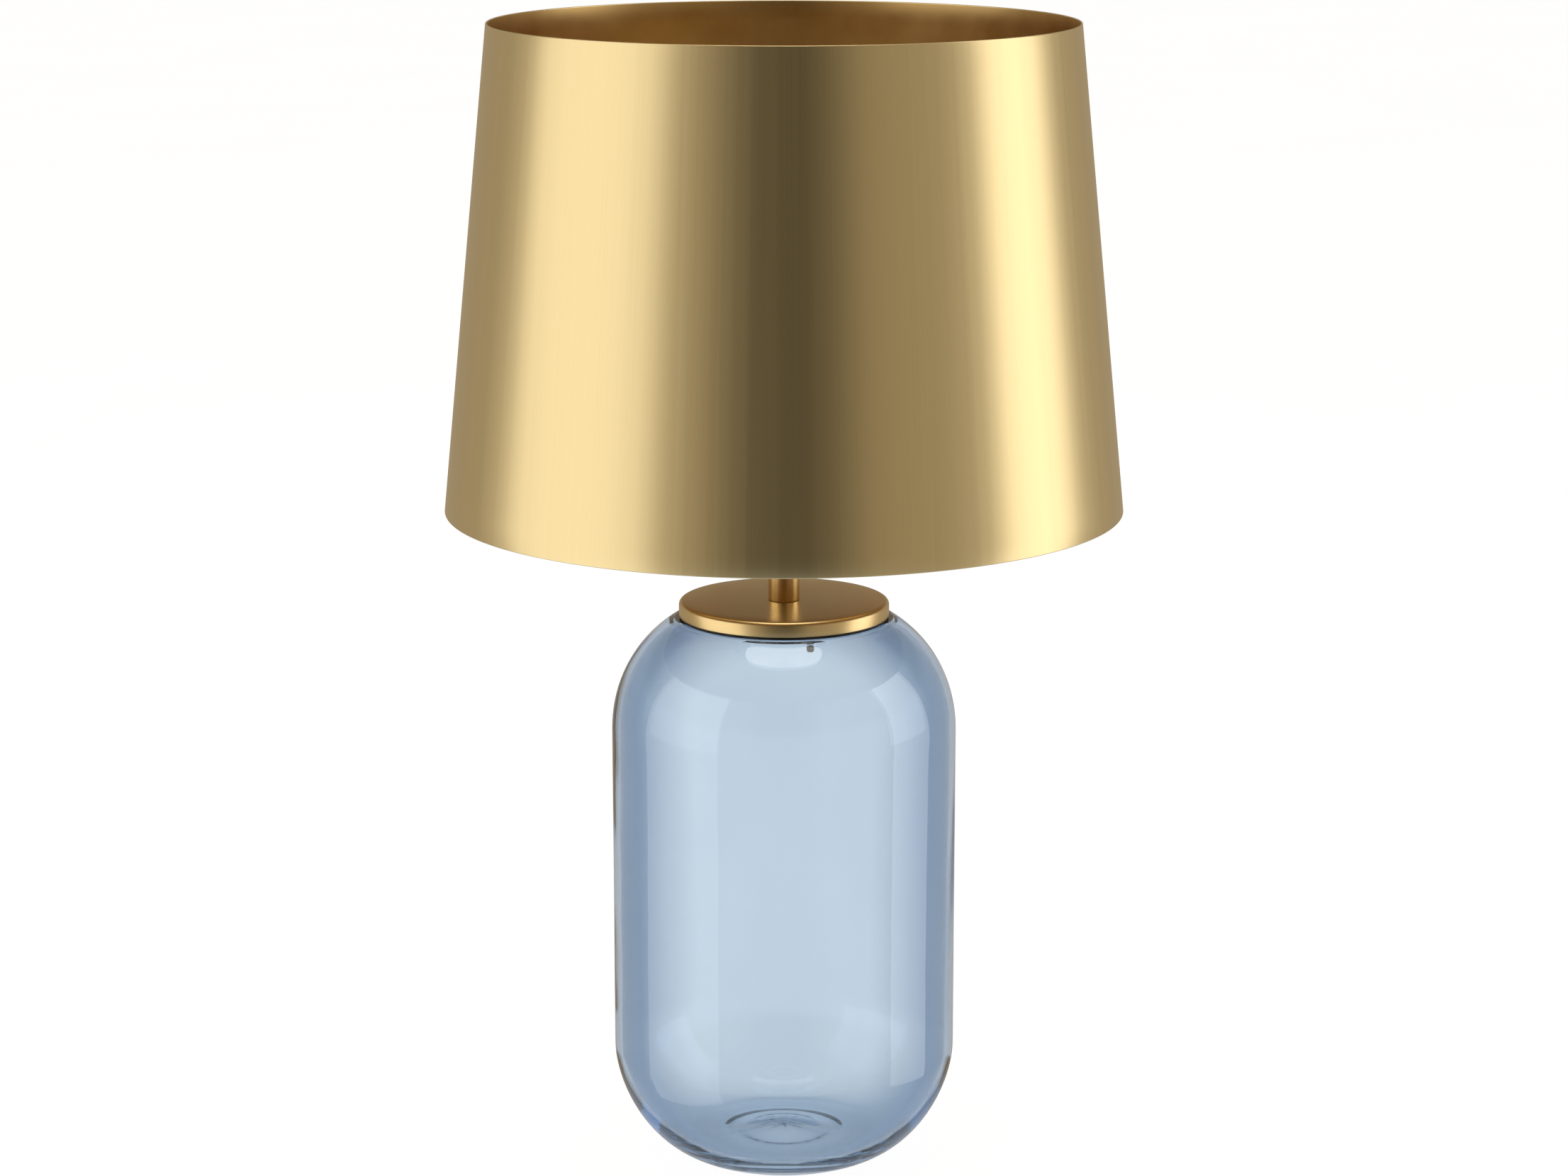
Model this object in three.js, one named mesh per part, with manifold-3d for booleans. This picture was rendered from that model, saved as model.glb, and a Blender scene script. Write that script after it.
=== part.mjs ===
// Table lamp: a blown glass capsule closed by a gold lid, a plain stem, an E27 holder and a
// tapered sheet-metal shade. Millimetres, +Z up, the origin under the middle of the glass.
import * as THREE from "three";
import { mergeVertices } from "three/addons/utils/BufferGeometryUtils.js";
import Module from "manifold-3d";

const wasm = await Module();
wasm.setup();

// ---- Driving dimensions ----

// Gaps
const seatGap = 0.1; // between flat faces that rest on each other
const fitGap = 0.3; // round a piece that stands in or against another
const threadGap = 0.4; // between a plain outer thread and what screws over it

// Glass
const glassR = 77.1;
const glassHeight = 248.2; // up to the ground lip
const glassWall = 3;
const glassFloor = 5.5;
const standR = 39.3; // outer edge of the flat ring that it stands on
const puntR = 30; // the kicked-up middle of the base
const puntRise = 4;
const baseCornerH = 49.6;
const baseCornerPower = 1.72;
const shoulderH = 50.75; // from the straight wall up to the lip
const shoulderPower = 2.04;
const crownR = 18; // where the shoulder's curve would level out if the mouth were closed
const mouthR = 42.6;
const lipWidth = 6.4;

// Lid and gasket
const lidOverlap = 4.3; // how far the lid reaches out past the mouth's edge
const lidH = 6.7;
const lidEdgeR = 2;
const lidSkirt = 2;
const lidTopWall = 1.6;
const gasketThick = 1.1;
const gasketInset = 0.5; // the gasket's edge stays this far inside the lid's
const cordWidth = 5.4; // the flat cord that the inlet takes
const cordHeight = 3.3;
const bushingWall = 0.7;
const bushingFlange = 1.2;

// Plug that holds the lid in the mouth
const plugClearance = 1.8; // between the loose seal ring and the mouth
const sealWidth = 11.5;
const sealReach = 1.2; // how far the seal ring reaches under the lip
const plateInset = 4.3; // the plug plate's edge stays this far inside the seal ring's
const plateThick = 1.2;
const hubFlats = 40;
const hubThick = 6.7;
const hubChamfer = 0.6;
const hubScrewR = 1.75;
const hubScrewHeadR = 3.3;
const hubScrewHeadH = 2;
const hubScrewReach = 3.0; // how far its end stands out below the hub
const hubScrewInset = 2.9; // from the hub's corner in to the screw's axis
const hubScrewAngle = -55; // degrees

// Stem
const stemWall = 1.2;
const stemLength = 62;
const stemGap = 0.8; // between the rod and the stem tube
const rodR = 5;
const rodWall = 1.1;
const rodSlotWidth = 5;
const rodSlotHeight = 2.6;
const nutRim = 2; // from the rod out to the nut's flats
const nutThick = 3;
const nutChamfer = 0.5;
const washerRim = 3.5;
const washerThick = 1.1;

// Lamp holder
const holderR = 19.7;
const holderWall = 2;
const holderShellH = 29;
const holderLipR = 15.2;
const holderBaseH = 17;
const holderHubWall = 3.5;
const holderHubH = 6;
const insertThick = 6;
const insertPocketR = 7.6;
const insertPocketDepth = 2;
const screwShellR = 14.3;
const screwShellWall = 0.5;
const screwShellH = 18;
const contactRise = 3.1; // the spring tongue's top above the insert
const contactThick = 0.5;
const contactWidth = 5;
const terminalSize = 5;
const terminalOffset = 9;
const grubScrewR = 1.5;

// Shade rings, fitter and shade
const ringR = 28;
const ringH = 5;
const ringSeat = 2; // the lower ring's height on the holder's shell
const fitterR = 30;
const fitterThick = 1.5;
const fitterDrop = 45.3; // from the fitter ring down to the shade's lower edge
const armR = 1.8;
const armBend = 10;
const armFoot = 16;
const armCount = 3;
const shadeBottomR = 150;
const shadeTopR = 128.8;
const shadeHeight = 213.6;
const shadeSheet = 0.8;

// Bulb
const bulbR = 30;
const bulbLength = 105;
const bulbWall = 1;
const bulbNeckR = 12.9;
const bulbCapR = 13.1;
const bulbCapWall = 0.6;
const bulbCapH = 17;
const bulbTipR = 4.8;
const bulbTipH = 1.5;
const bulbInsulatorH = 4.4;
const bulbInsulatorR = 11.4;
const filamentR = 1.1;
const filamentLength = 36;
const filamentCircleR = 9;
const filamentCount = 4;

// How finely round pieces are divided
const coarseSides = 12;
const fineSides = 32;
const lidSides = 48;
const shadeSides = 72;

// ---- Radii and heights that follow from them ----

const lidR = mouthR + lidOverlap;
const sealR = mouthR - plugClearance;
const hubScrewCircleR = hubFlats / Math.sqrt(3) - hubScrewInset;
const stemR = rodR + stemGap + stemWall;
const rodHoleR = rodR + fitGap;
const washerR = rodR + washerRim;
const holderHubR = rodR + holderHubWall;
const insertR = holderR - holderWall - fitGap;

const lidZ = glassHeight + seatGap + gasketThick + seatGap;
const lidTopZ = lidZ + lidH;
const underLidZ = lidTopZ - lidTopWall;
const sealZ = glassHeight - sealReach;
const plateZ = sealZ - seatGap - plateThick;
const hubZ = plateZ - seatGap - hubThick;
const stemZ = lidTopZ + seatGap;
const stemTopZ = stemZ + stemLength;
const holderBaseZ = stemTopZ + seatGap + washerThick + seatGap;
const holderShellZ = holderBaseZ + holderBaseH + seatGap;
const insertTopZ = holderShellZ + insertThick;
const lowerRingZ = holderShellZ + ringSeat;
const fitterZ = lowerRingZ + ringH + seatGap;
const upperRingZ = fitterZ + fitterThick + seatGap;
const shadeZ = fitterZ - fitterDrop;
const contactTopZ = insertTopZ + contactRise;
const bulbZ = contactTopZ + seatGap;
const bulbInsulatorZ = bulbZ + bulbTipH + seatGap;
const bulbCapZ = bulbInsulatorZ + bulbInsulatorH + seatGap;
const bulbGlassZ = bulbCapZ + bulbCapH + seatGap;

// ---- Materials ----

function finish(color, roughness, metalness) {
  return new THREE.MeshStandardMaterial({ color, roughness, metalness });
}

const satinGold = finish(0xc9a15a, 0.32, 1);
const blueGlass = finish(0xa9bfd6, 0.04, 0);
const blackRubber = finish(0x17181a, 0.75, 0);
const blackPlastic = finish(0x1c1c1e, 0.45, 0);
const zincSteel = finish(0xb9bcc0, 0.4, 1);
const brass = finish(0xc8a14b, 0.3, 1);
const whitePlastic = finish(0xeeeae0, 0.5, 0);
const clearGlass = finish(0xf2f4f5, 0.03, 0);
const nickel = finish(0xc4c2bb, 0.28, 1);
const phosphor = finish(0xf1c25a, 0.6, 0);
const boardGreen = finish(0x2f6b46, 0.6, 0);

// ---- Shape helpers ----

// A solid of revolution about Z. The outline is a list of [radius, height] points; a closed one
// comes back to its first point, an open one starts and ends on the axis.
function turned(outline, sides, closed = true) {
  const points = outline.map(([r, z]) => new THREE.Vector2(r, z));
  if (closed) points.push(points[0].clone());
  if (THREE.ShapeUtils.area(points) < 0) points.reverse();
  return new THREE.LatheGeometry(points, sides).rotateX(Math.PI / 2);
}

function tube(innerR, outerR, z, height, sides) {
  const outline = [
    [innerR, z],
    [outerR, z],
    [outerR, z + height],
    [innerR, z + height],
  ];
  return turned(outline, sides);
}

function rod(radius, z, height, sides) {
  return new THREE.CylinderGeometry(radius, radius, height, sides)
    .rotateX(Math.PI / 2)
    .translate(0, 0, z + height / 2);
}

function block(width, depth, height, x, y, z) {
  return new THREE.BoxGeometry(width, depth, height).translate(x, y, z + height / 2);
}

// A hexagon lying flat with two corners on X, and a round hole in its middle.
function hexagonNut(flats, holeR, z, height, chamfer) {
  const cornerR = flats / Math.sqrt(3);
  const outer = new THREE.CylinderGeometry(cornerR, cornerR, height, 6)
    .rotateX(Math.PI / 2)
    .rotateZ(Math.PI / 2)
    .translate(0, 0, z + height / 2);
  const trimmer = turned(
    [
      [0, z],
      [cornerR - chamfer, z],
      [cornerR, z + chamfer],
      [cornerR, z + height - chamfer],
      [cornerR - chamfer, z + height],
      [0, z + height],
    ],
    lidSides,
    false,
  );
  const hole = rod(holeR, z - 1, height + 2, coarseSides);
  return cut(shared(outer, trimmer), hole);
}

function solidOf(geometry) {
  const bare = geometry.index ? geometry.toNonIndexed() : geometry.clone();
  bare.deleteAttribute("normal");
  bare.deleteAttribute("uv");
  const merged = mergeVertices(bare, 1e-4);
  return new wasm.Manifold(
    new wasm.Mesh({
      numProp: 3,
      vertProperties: merged.attributes.position.array,
      triVerts: new Uint32Array(merged.index.array),
    }),
  );
}

function geometryOf(solid) {
  const mesh = solid.getMesh();
  const geometry = new THREE.BufferGeometry();
  geometry.setAttribute("position", new THREE.BufferAttribute(mesh.vertProperties, 3));
  geometry.setIndex(new THREE.BufferAttribute(mesh.triVerts, 1));
  const flat = geometry.toNonIndexed();
  flat.computeVertexNormals();
  return flat;
}

function cut(geometry, ...tools) {
  let solid = solidOf(geometry);
  for (const tool of tools) solid = solid.subtract(solidOf(tool));
  return geometryOf(solid);
}

function join(geometry, ...others) {
  let solid = solidOf(geometry);
  for (const other of others) solid = solid.add(solidOf(other));
  return geometryOf(solid);
}

function shared(geometry, other) {
  return geometryOf(solidOf(geometry).intersect(solidOf(other)));
}

// A quarter of a superellipse about (centreR, centreZ), from its side at turn 0 to its end at turn 1.
function roundedCorner(centreR, centreZ, reachR, reachZ, power, steps, lastTurn = 1) {
  const points = [];
  for (let i = 0; i <= steps; i++) {
    const turn = (i / steps) * lastTurn * (Math.PI / 2);
    const r = centreR + reachR * Math.cos(turn) ** (2 / power);
    const z = centreZ + reachZ * Math.sin(turn) ** (2 / power);
    points.push([r, z]);
  }
  return points;
}

function onCircle(radius, degrees) {
  const turn = THREE.MathUtils.degToRad(degrees);
  return [radius * Math.cos(turn), radius * Math.sin(turn)];
}

// ---- Glass ----

// The shoulder from the straight wall at wallR up to the lip, which it meets at edgeR.
function shoulder(wallR, edgeR, steps) {
  const startZ = glassHeight - shoulderH;
  const share = (edgeR - crownR) / (wallR - crownR);
  const lastTurn = Math.acos(share ** (shoulderPower / 2)) / (Math.PI / 2);
  const rise = Math.sin(lastTurn * (Math.PI / 2)) ** (2 / shoulderPower);
  const reachZ = shoulderH / rise;
  return roundedCorner(crownR, startZ, wallR - crownR, reachZ, shoulderPower, steps, lastTurn);
}

// The rounded base corner, listed upwards from its foot at footR to the straight wall.
function baseCorner(footR, footZ, wallR, steps) {
  const reachZ = footZ - baseCornerH;
  const reachR = wallR - footR;
  return roundedCorner(footR, baseCornerH, reachR, reachZ, baseCornerPower, steps).reverse();
}

// The kicked-up middle, from the axis out to its edge at edgeR.
function kick(edgeR, edgeZ, steps) {
  const points = [];
  for (let i = 0; i < steps; i++) {
    const r = (edgeR * i) / steps;
    points.push([r, edgeZ + (puntRise * (1 + Math.cos((Math.PI * r) / edgeR))) / 2]);
  }
  points.push([edgeR, edgeZ]);
  return points;
}

function glassBody() {
  const outside = [
    ...kick(puntR, 0, 4),
    ...baseCorner(standR, 0, glassR, 7),
    ...shoulder(glassR, mouthR + lipWidth, 7),
  ];
  const inside = [
    ...kick(puntR, glassFloor, 4),
    ...baseCorner(standR, glassFloor, glassR - glassWall, 7),
    ...shoulder(glassR - glassWall, mouthR, 7),
  ];
  return turned([...outside, ...inside.reverse()], lidSides, false);
}

// ---- Lid, gasket and cord inlet ----

function lidGasket() {
  const innerR = mouthR - plugClearance / 2;
  return tube(innerR, lidR - gasketInset, glassHeight + seatGap, gasketThick, lidSides);
}

const bushingWidth = cordWidth + 2 * bushingWall;
const bushingHeight = cordHeight + 2 * bushingWall;
const bushingZ = lidZ + fitGap;

function lidCap() {
  const edge = roundedCorner(lidR - lidEdgeR, lidTopZ - lidEdgeR, lidEdgeR, lidEdgeR, 2, 3);
  const innerR = lidR - lidSkirt;
  const shell = turned(
    [
      [rodHoleR, underLidZ],
      [innerR, underLidZ],
      [innerR, lidZ],
      [lidR, lidZ],
      ...edge,
      [rodHoleR, lidTopZ],
    ],
    lidSides,
  );
  const notchH = bushingHeight + 2 * fitGap;
  const notch = block(bushingWidth + 2 * fitGap, 2 * lidSkirt + 1, notchH, 0, lidR - lidSkirt / 2, lidZ - fitGap);
  return cut(shell, notch);
}

// The bushing stands in the notch at the back of the lid's skirt, with a flange behind the wall.
function cordBushing() {
  const innerR = lidR - lidSkirt;
  const body = block(bushingWidth, lidSkirt + 1, bushingHeight, 0, innerR + lidSkirt / 2, bushingZ - fitGap);
  const flangeY = innerR - bushingFlange / 2 - fitGap;
  const flange = block(bushingWidth + 2, bushingFlange, bushingHeight, 0, flangeY, bushingZ - fitGap);
  const passage = block(cordWidth, 4 * lidSkirt, cordHeight, 0, innerR, bushingZ - fitGap + bushingWall);
  return cut(join(body, flange), passage);
}

// ---- Plug ----

function plugSealRing() {
  const height = underLidZ - seatGap - sealZ;
  const ring = tube(sealR - sealWidth, sealR, sealZ, height, lidSides);
  const channel = block(cordWidth + 1, 2 * sealWidth, cordHeight + 1, 0, sealR - sealWidth / 2, lidZ);
  return cut(ring, channel);
}

function plugPlate() {
  const plate = tube(rodHoleR, sealR - plateInset, plateZ, plateThick, lidSides);
  const holes = hubScrewPlaces().map(([x, y]) =>
    rod(hubScrewR + fitGap, plateZ - 1, plateThick + 2, coarseSides).translate(x, y, 0),
  );
  return cut(plate, ...holes);
}

function hubScrewPlaces() {
  return [hubScrewAngle, hubScrewAngle + 180].map((angle) => onCircle(hubScrewCircleR, angle));
}

function plugHub() {
  const nut = hexagonNut(hubFlats, rodHoleR, hubZ, hubThick, hubChamfer);
  const holes = hubScrewPlaces().map(([x, y]) =>
    rod(hubScrewR + fitGap / 2, hubZ - 1, hubThick + 2, coarseSides).translate(x, y, 0),
  );
  return cut(nut, ...holes);
}

// The head lies on the plug plate and the shank goes down through plate and hub.
function hubScrew() {
  const headZ = plateZ + plateThick + seatGap;
  const endZ = hubZ - hubScrewReach;
  const bevel = hubScrewR / 4;
  return turned(
    [
      [0, endZ],
      [hubScrewR - bevel, endZ],
      [hubScrewR, endZ + bevel],
      [hubScrewR, headZ],
      [hubScrewHeadR, headZ],
      [hubScrewHeadR, headZ + hubScrewHeadH / 2],
      [hubScrewHeadR * 0.7, headZ + hubScrewHeadH],
      [0, headZ + hubScrewHeadH],
    ],
    coarseSides,
    false,
  );
}

// ---- Stem ----

const rodWasherZ = underLidZ - seatGap - washerThick;
const rodNutZ = rodWasherZ - seatGap - nutThick;

// The hollow rod, with a slot under the nut where the cord's cores go in.
function stemRod() {
  const bottomZ = hubZ + fitGap;
  const topZ = holderBaseZ + holderHubH;
  const pipe = tube(rodR - rodWall, rodR, bottomZ, topZ - bottomZ, 2 * coarseSides);
  const slotZ = rodNutZ - fitGap - rodSlotHeight;
  const slot = block(rodSlotWidth, 2 * rodR, rodSlotHeight, 0, rodR, slotZ);
  return cut(pipe, slot);
}

function stemTube() {
  return tube(stemR - stemWall, stemR, stemZ, stemLength, 2 * coarseSides);
}

// ---- Lamp holder ----

function holderBase() {
  const topZ = holderBaseZ + holderBaseH;
  const flareZ = holderBaseZ + holderHubH;
  const rimZ = topZ - 3;
  const rimInnerR = insertR - 1;
  const body = turned(
    [
      [rodHoleR, holderBaseZ],
      [holderHubR, holderBaseZ],
      [holderHubR, flareZ],
      [holderR - holderWall, flareZ + 2.5],
      [holderR, rimZ - 2],
      [holderR, topZ],
      [rimInnerR, topZ],
      [rimInnerR, rimZ],
      [holderHubR + holderWall, flareZ + holderWall],
      [rodHoleR, flareZ + holderWall],
    ],
    fineSides,
  );
  const threadedHole = rod(grubScrewR + 0.2, 0, holderR, coarseSides)
    .rotateX(-Math.PI / 2)
    .translate(0, 0, grubScrewZ);
  return cut(body, threadedHole);
}

const grubScrewZ = holderBaseZ + holderHubH / 2;

function holderGrubScrew() {
  const length = holderHubR - rodR - 2 * fitGap;
  return rod(grubScrewR, 0, length, coarseSides)
    .rotateX(-Math.PI / 2)
    .translate(0, rodHoleR, grubScrewZ);
}

function holderShell() {
  const topZ = holderShellZ + holderShellH;
  const innerR = holderR - holderWall;
  return turned(
    [
      [innerR, holderShellZ],
      [holderR, holderShellZ],
      [holderR, topZ - 1],
      [holderR - 1, topZ],
      [holderLipR, topZ],
      [holderLipR, topZ - holderWall],
      [innerR, topZ - holderWall],
    ],
    fineSides,
  );
}

function holderInsert() {
  const pocketZ = insertTopZ - insertPocketDepth;
  return turned(
    [
      [0, holderShellZ],
      [insertR, holderShellZ],
      [insertR, insertTopZ],
      [insertPocketR, insertTopZ],
      [insertPocketR, pocketZ],
      [0, pocketZ],
    ],
    fineSides,
    false,
  );
}

function screwShell() {
  const bottomZ = insertTopZ + seatGap;
  const innerR = screwShellR - screwShellWall;
  return turned(
    [
      [insertPocketR, bottomZ],
      [screwShellR, bottomZ],
      [screwShellR, bottomZ + screwShellH],
      [innerR, bottomZ + screwShellH],
      [innerR, bottomZ + screwShellWall],
      [insertPocketR, bottomZ + screwShellWall],
    ],
    fineSides,
  );
}

// A bent spring strip: a foot on the left, a slope and a raised flat tip in the middle.
function centreContact() {
  const footZ = insertTopZ + seatGap;
  const footX = insertPocketR - 1.5;
  const tipX = bulbTipR / 2;
  const outline = new THREE.Shape([
    new THREE.Vector2(-footX, footZ),
    new THREE.Vector2(-tipX - 1, footZ),
    new THREE.Vector2(-tipX / 2, contactTopZ - contactThick),
    new THREE.Vector2(tipX, contactTopZ - contactThick),
    new THREE.Vector2(tipX, contactTopZ),
    new THREE.Vector2(-tipX / 2 - contactThick, contactTopZ),
    new THREE.Vector2(-tipX - 1 - contactThick, footZ + contactThick),
    new THREE.Vector2(-footX, footZ + contactThick),
  ]);
  return new THREE.ExtrudeGeometry(outline, { depth: contactWidth, bevelEnabled: false })
    .rotateX(Math.PI / 2)
    .translate(0, contactWidth / 2, 0);
}

const terminalZ = holderShellZ - seatGap - terminalSize;

function terminalBlock(side) {
  return block(terminalSize, terminalSize, terminalSize, side * terminalOffset, 0, terminalZ);
}

function terminalScrew(side) {
  const headH = 1.6;
  const headR = terminalSize / 2;
  const head = rod(headR, terminalZ - seatGap - headH, headH, coarseSides);
  const driverSlot = block(terminalSize + 1, 0.7, 1.2, 0, 0, terminalZ - seatGap - headH - 0.5);
  return cut(head, driverSlot).translate(side * terminalOffset, 0, 0);
}

// ---- Shade rings and shade ----

function shadeRing(z) {
  const innerR = holderR + threadGap;
  const bevel = 1;
  return turned(
    [
      [innerR, z],
      [ringR - bevel, z],
      [ringR, z + bevel],
      [ringR, z + ringH - bevel],
      [ringR - bevel, z + ringH],
      [innerR, z + ringH],
    ],
    fineSides,
  );
}

function fitterRing() {
  return tube(holderR + 2 * threadGap, fitterR, fitterZ, fitterThick, fineSides);
}

// The sheet's outer radius at a height above the shade's lower edge.
function shadeRadiusAt(rise) {
  return shadeBottomR + ((shadeTopR - shadeBottomR) * rise) / shadeHeight;
}

function shadeShell() {
  return turned(
    [
      [shadeBottomR - shadeSheet, shadeZ],
      [shadeBottomR, shadeZ],
      [shadeTopR, shadeZ + shadeHeight],
      [shadeTopR - shadeSheet, shadeZ + shadeHeight],
    ],
    shadeSides,
  );
}

// A round wire from the fitter ring out to the sheet, where its foot turns up along the wall.
function fitterArm(index) {
  const wallGap = shadeSheet + armR + 2 * fitGap;
  const midZ = fitterZ + fitterThick / 2;
  const footZ = midZ + armBend;
  const bendR = shadeRadiusAt(footZ - shadeZ) - wallGap;
  const endZ = footZ + armFoot;
  const endR = shadeRadiusAt(endZ - shadeZ) - wallGap;
  const path = new THREE.CurvePath();
  const start = new THREE.Vector3(fitterR + fitGap, 0, midZ);
  const beforeBend = new THREE.Vector3(bendR - armBend, 0, midZ);
  const corner = new THREE.Vector3(bendR, 0, midZ);
  const afterBend = new THREE.Vector3(bendR, 0, footZ);
  path.add(new THREE.LineCurve3(start, beforeBend));
  path.add(new THREE.QuadraticBezierCurve3(beforeBend, corner, afterBend));
  path.add(new THREE.LineCurve3(afterBend, new THREE.Vector3(endR, 0, endZ)));
  const section = new THREE.Shape();
  section.absarc(0, 0, armR, 0, 2 * Math.PI);
  const turn = Math.PI / 2 + (2 * Math.PI * index) / armCount;
  return new THREE.ExtrudeGeometry(section, {
    extrudePath: path,
    steps: 16,
    curveSegments: 4,
    bevelEnabled: false,
  }).rotateZ(turn);
}

// ---- Bulb ----

function bulbGlass() {
  const topZ = bulbZ + bulbLength;
  const centreZ = topZ - bulbR;
  const joinTurn = -35;
  const [joinR, joinRise] = onCircle(bulbR, joinTurn);
  const neck = new THREE.CubicBezierCurve(
    new THREE.Vector2(bulbNeckR, bulbGlassZ),
    new THREE.Vector2(bulbNeckR + 0.5, bulbGlassZ + 12),
    new THREE.Vector2(joinR - joinR * 0.26, centreZ + joinRise - 11),
    new THREE.Vector2(joinR, centreZ + joinRise),
  );
  const outside = neck.getPoints(5).map((p) => [p.x, p.y]);
  for (let degrees = joinTurn + 15; degrees < 90; degrees += 15) {
    const [r, rise] = onCircle(bulbR, degrees);
    outside.push([r, centreZ + rise]);
  }
  const shrink = (bulbR - bulbWall) / bulbR;
  const inside = outside.map(([r, z]) => [r * shrink, centreZ + (z - centreZ) * shrink]);
  inside[0] = [bulbNeckR - bulbWall, bulbGlassZ];
  outside.push([0, topZ]);
  inside.push([0, topZ - bulbWall]);
  return turned([...outside, ...inside.reverse()], 2 * coarseSides).toNonIndexed();
}

function bulbCap() {
  const bottomZ = bulbCapZ;
  const topZ = bottomZ + bulbCapH;
  const innerR = bulbCapR - bulbCapWall;
  return turned(
    [
      [bulbInsulatorR, bottomZ],
      [bulbCapR - 0.6, bottomZ],
      [bulbCapR, bottomZ + 1.5],
      [bulbCapR, topZ],
      [innerR, topZ],
      [innerR, bottomZ + 1.5],
      [bulbInsulatorR, bottomZ + bulbCapWall],
    ],
    2 * coarseSides,
  );
}

function bulbInsulator() {
  const topZ = bulbInsulatorZ + bulbInsulatorH;
  return turned(
    [
      [0, bulbInsulatorZ],
      [bulbTipR + 0.5, bulbInsulatorZ],
      [bulbInsulatorR, topZ - 1],
      [bulbInsulatorR, topZ],
      [0, topZ],
    ],
    2 * coarseSides,
    false,
  );
}

function bulbTip() {
  return turned(
    [
      [0, bulbZ],
      [bulbTipR * 0.7, bulbZ],
      [bulbTipR, bulbZ + bulbTipH / 2],
      [bulbTipR, bulbZ + bulbTipH],
      [0, bulbZ + bulbTipH],
    ],
    coarseSides,
    false,
  );
}

const filamentZ = bulbGlassZ + 22;

// The glass foot inside the neck, with the post that carries the filaments.
function bulbMount() {
  const footR = bulbNeckR - bulbWall - 1.5;
  const footZ = bulbGlassZ + 1;
  return turned(
    [
      [0, footZ],
      [footR, footZ],
      [footR - 1, footZ + 1.5],
      [3.4, footZ + 6],
      [2.6, filamentZ - 4],
      [0, filamentZ - 2],
    ],
    coarseSides,
    false,
  );
}

function bulbDriver() {
  const height = bulbCapH - 5;
  return block(16, 1.2, height, 0, 0, bulbCapZ + 2);
}

function filament(index) {
  const [x, y] = onCircle(filamentCircleR, 45 + (360 * index) / filamentCount);
  return rod(filamentR, filamentZ, filamentLength, 8).translate(x, y, 0);
}

// ---- Assembly ----

function piece(parent, name, geometry, material) {
  const mesh = new THREE.Mesh(geometry, material);
  mesh.name = name;
  parent.add(mesh);
  return mesh;
}

function glassGroup() {
  const group = new THREE.Group();
  piece(group, "glass_body", glassBody(), blueGlass);
  return group;
}

function lidGroup() {
  const group = new THREE.Group();
  piece(group, "lid_gasket", lidGasket(), blackRubber);
  piece(group, "lid_cap", lidCap(), satinGold);
  piece(group, "cord_bushing", cordBushing(), blackPlastic);
  piece(group, "plug_seal_ring", plugSealRing(), blackRubber);
  piece(group, "plug_plate", plugPlate(), zincSteel);
  piece(group, "plug_hub", plugHub(), blackPlastic);
  hubScrewPlaces().forEach(([x, y], i) => {
    const screw = piece(group, "hub_screw_" + (i + 1), hubScrew(), zincSteel);
    screw.position.set(x, y, 0);
  });
  return group;
}

function stemGroup() {
  const group = new THREE.Group();
  const rodWasher = tube(rodHoleR, washerR, rodWasherZ, washerThick, 2 * coarseSides);
  const topWasher = tube(rodHoleR, washerR, stemTopZ + seatGap, washerThick, 2 * coarseSides);
  const rodNut = hexagonNut(2 * (rodR + nutRim), rodHoleR, rodNutZ, nutThick, nutChamfer);
  piece(group, "stem_rod", stemRod(), zincSteel);
  piece(group, "rod_lock_washer", rodWasher, zincSteel);
  piece(group, "rod_nut", rodNut, zincSteel);
  piece(group, "stem_tube", stemTube(), satinGold);
  piece(group, "stem_top_washer", topWasher, satinGold);
  return group;
}

function holderGroup() {
  const group = new THREE.Group();
  piece(group, "holder_base", holderBase(), blackPlastic);
  piece(group, "holder_grub_screw", holderGrubScrew(), zincSteel);
  piece(group, "holder_shell", holderShell(), blackPlastic);
  piece(group, "holder_insert", holderInsert(), whitePlastic);
  piece(group, "screw_shell", screwShell(), brass);
  piece(group, "centre_contact", centreContact(), brass);
  piece(group, "terminal_live", terminalBlock(-1), brass);
  piece(group, "terminal_neutral", terminalBlock(1), brass);
  piece(group, "terminal_screw_live", terminalScrew(-1), zincSteel);
  piece(group, "terminal_screw_neutral", terminalScrew(1), zincSteel);
  return group;
}

function shadeGroup() {
  const group = new THREE.Group();
  piece(group, "shade_ring_lower", shadeRing(lowerRingZ), blackPlastic);
  piece(group, "shade_ring_upper", shadeRing(upperRingZ), blackPlastic);
  piece(group, "fitter_ring", fitterRing(), satinGold);
  for (let i = 0; i < armCount; i++) {
    piece(group, "fitter_arm_" + (i + 1), fitterArm(i), satinGold);
  }
  piece(group, "shade_shell", shadeShell(), satinGold);
  return group;
}

function bulbGroup() {
  const group = new THREE.Group();
  piece(group, "bulb_glass", bulbGlass(), clearGlass);
  piece(group, "bulb_cap", bulbCap(), nickel);
  piece(group, "bulb_insulator", bulbInsulator(), blackPlastic);
  piece(group, "bulb_contact", bulbTip(), nickel);
  piece(group, "bulb_mount", bulbMount(), clearGlass);
  piece(group, "bulb_driver", bulbDriver(), boardGreen);
  for (let i = 0; i < filamentCount; i++) {
    piece(group, "led_filament_" + (i + 1), filament(i), phosphor);
  }
  return group;
}

const lamp = new THREE.Group();
lamp.add(glassGroup(), lidGroup(), stemGroup(), holderGroup(), shadeGroup(), bulbGroup());

export default lamp;
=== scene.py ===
import math

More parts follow.
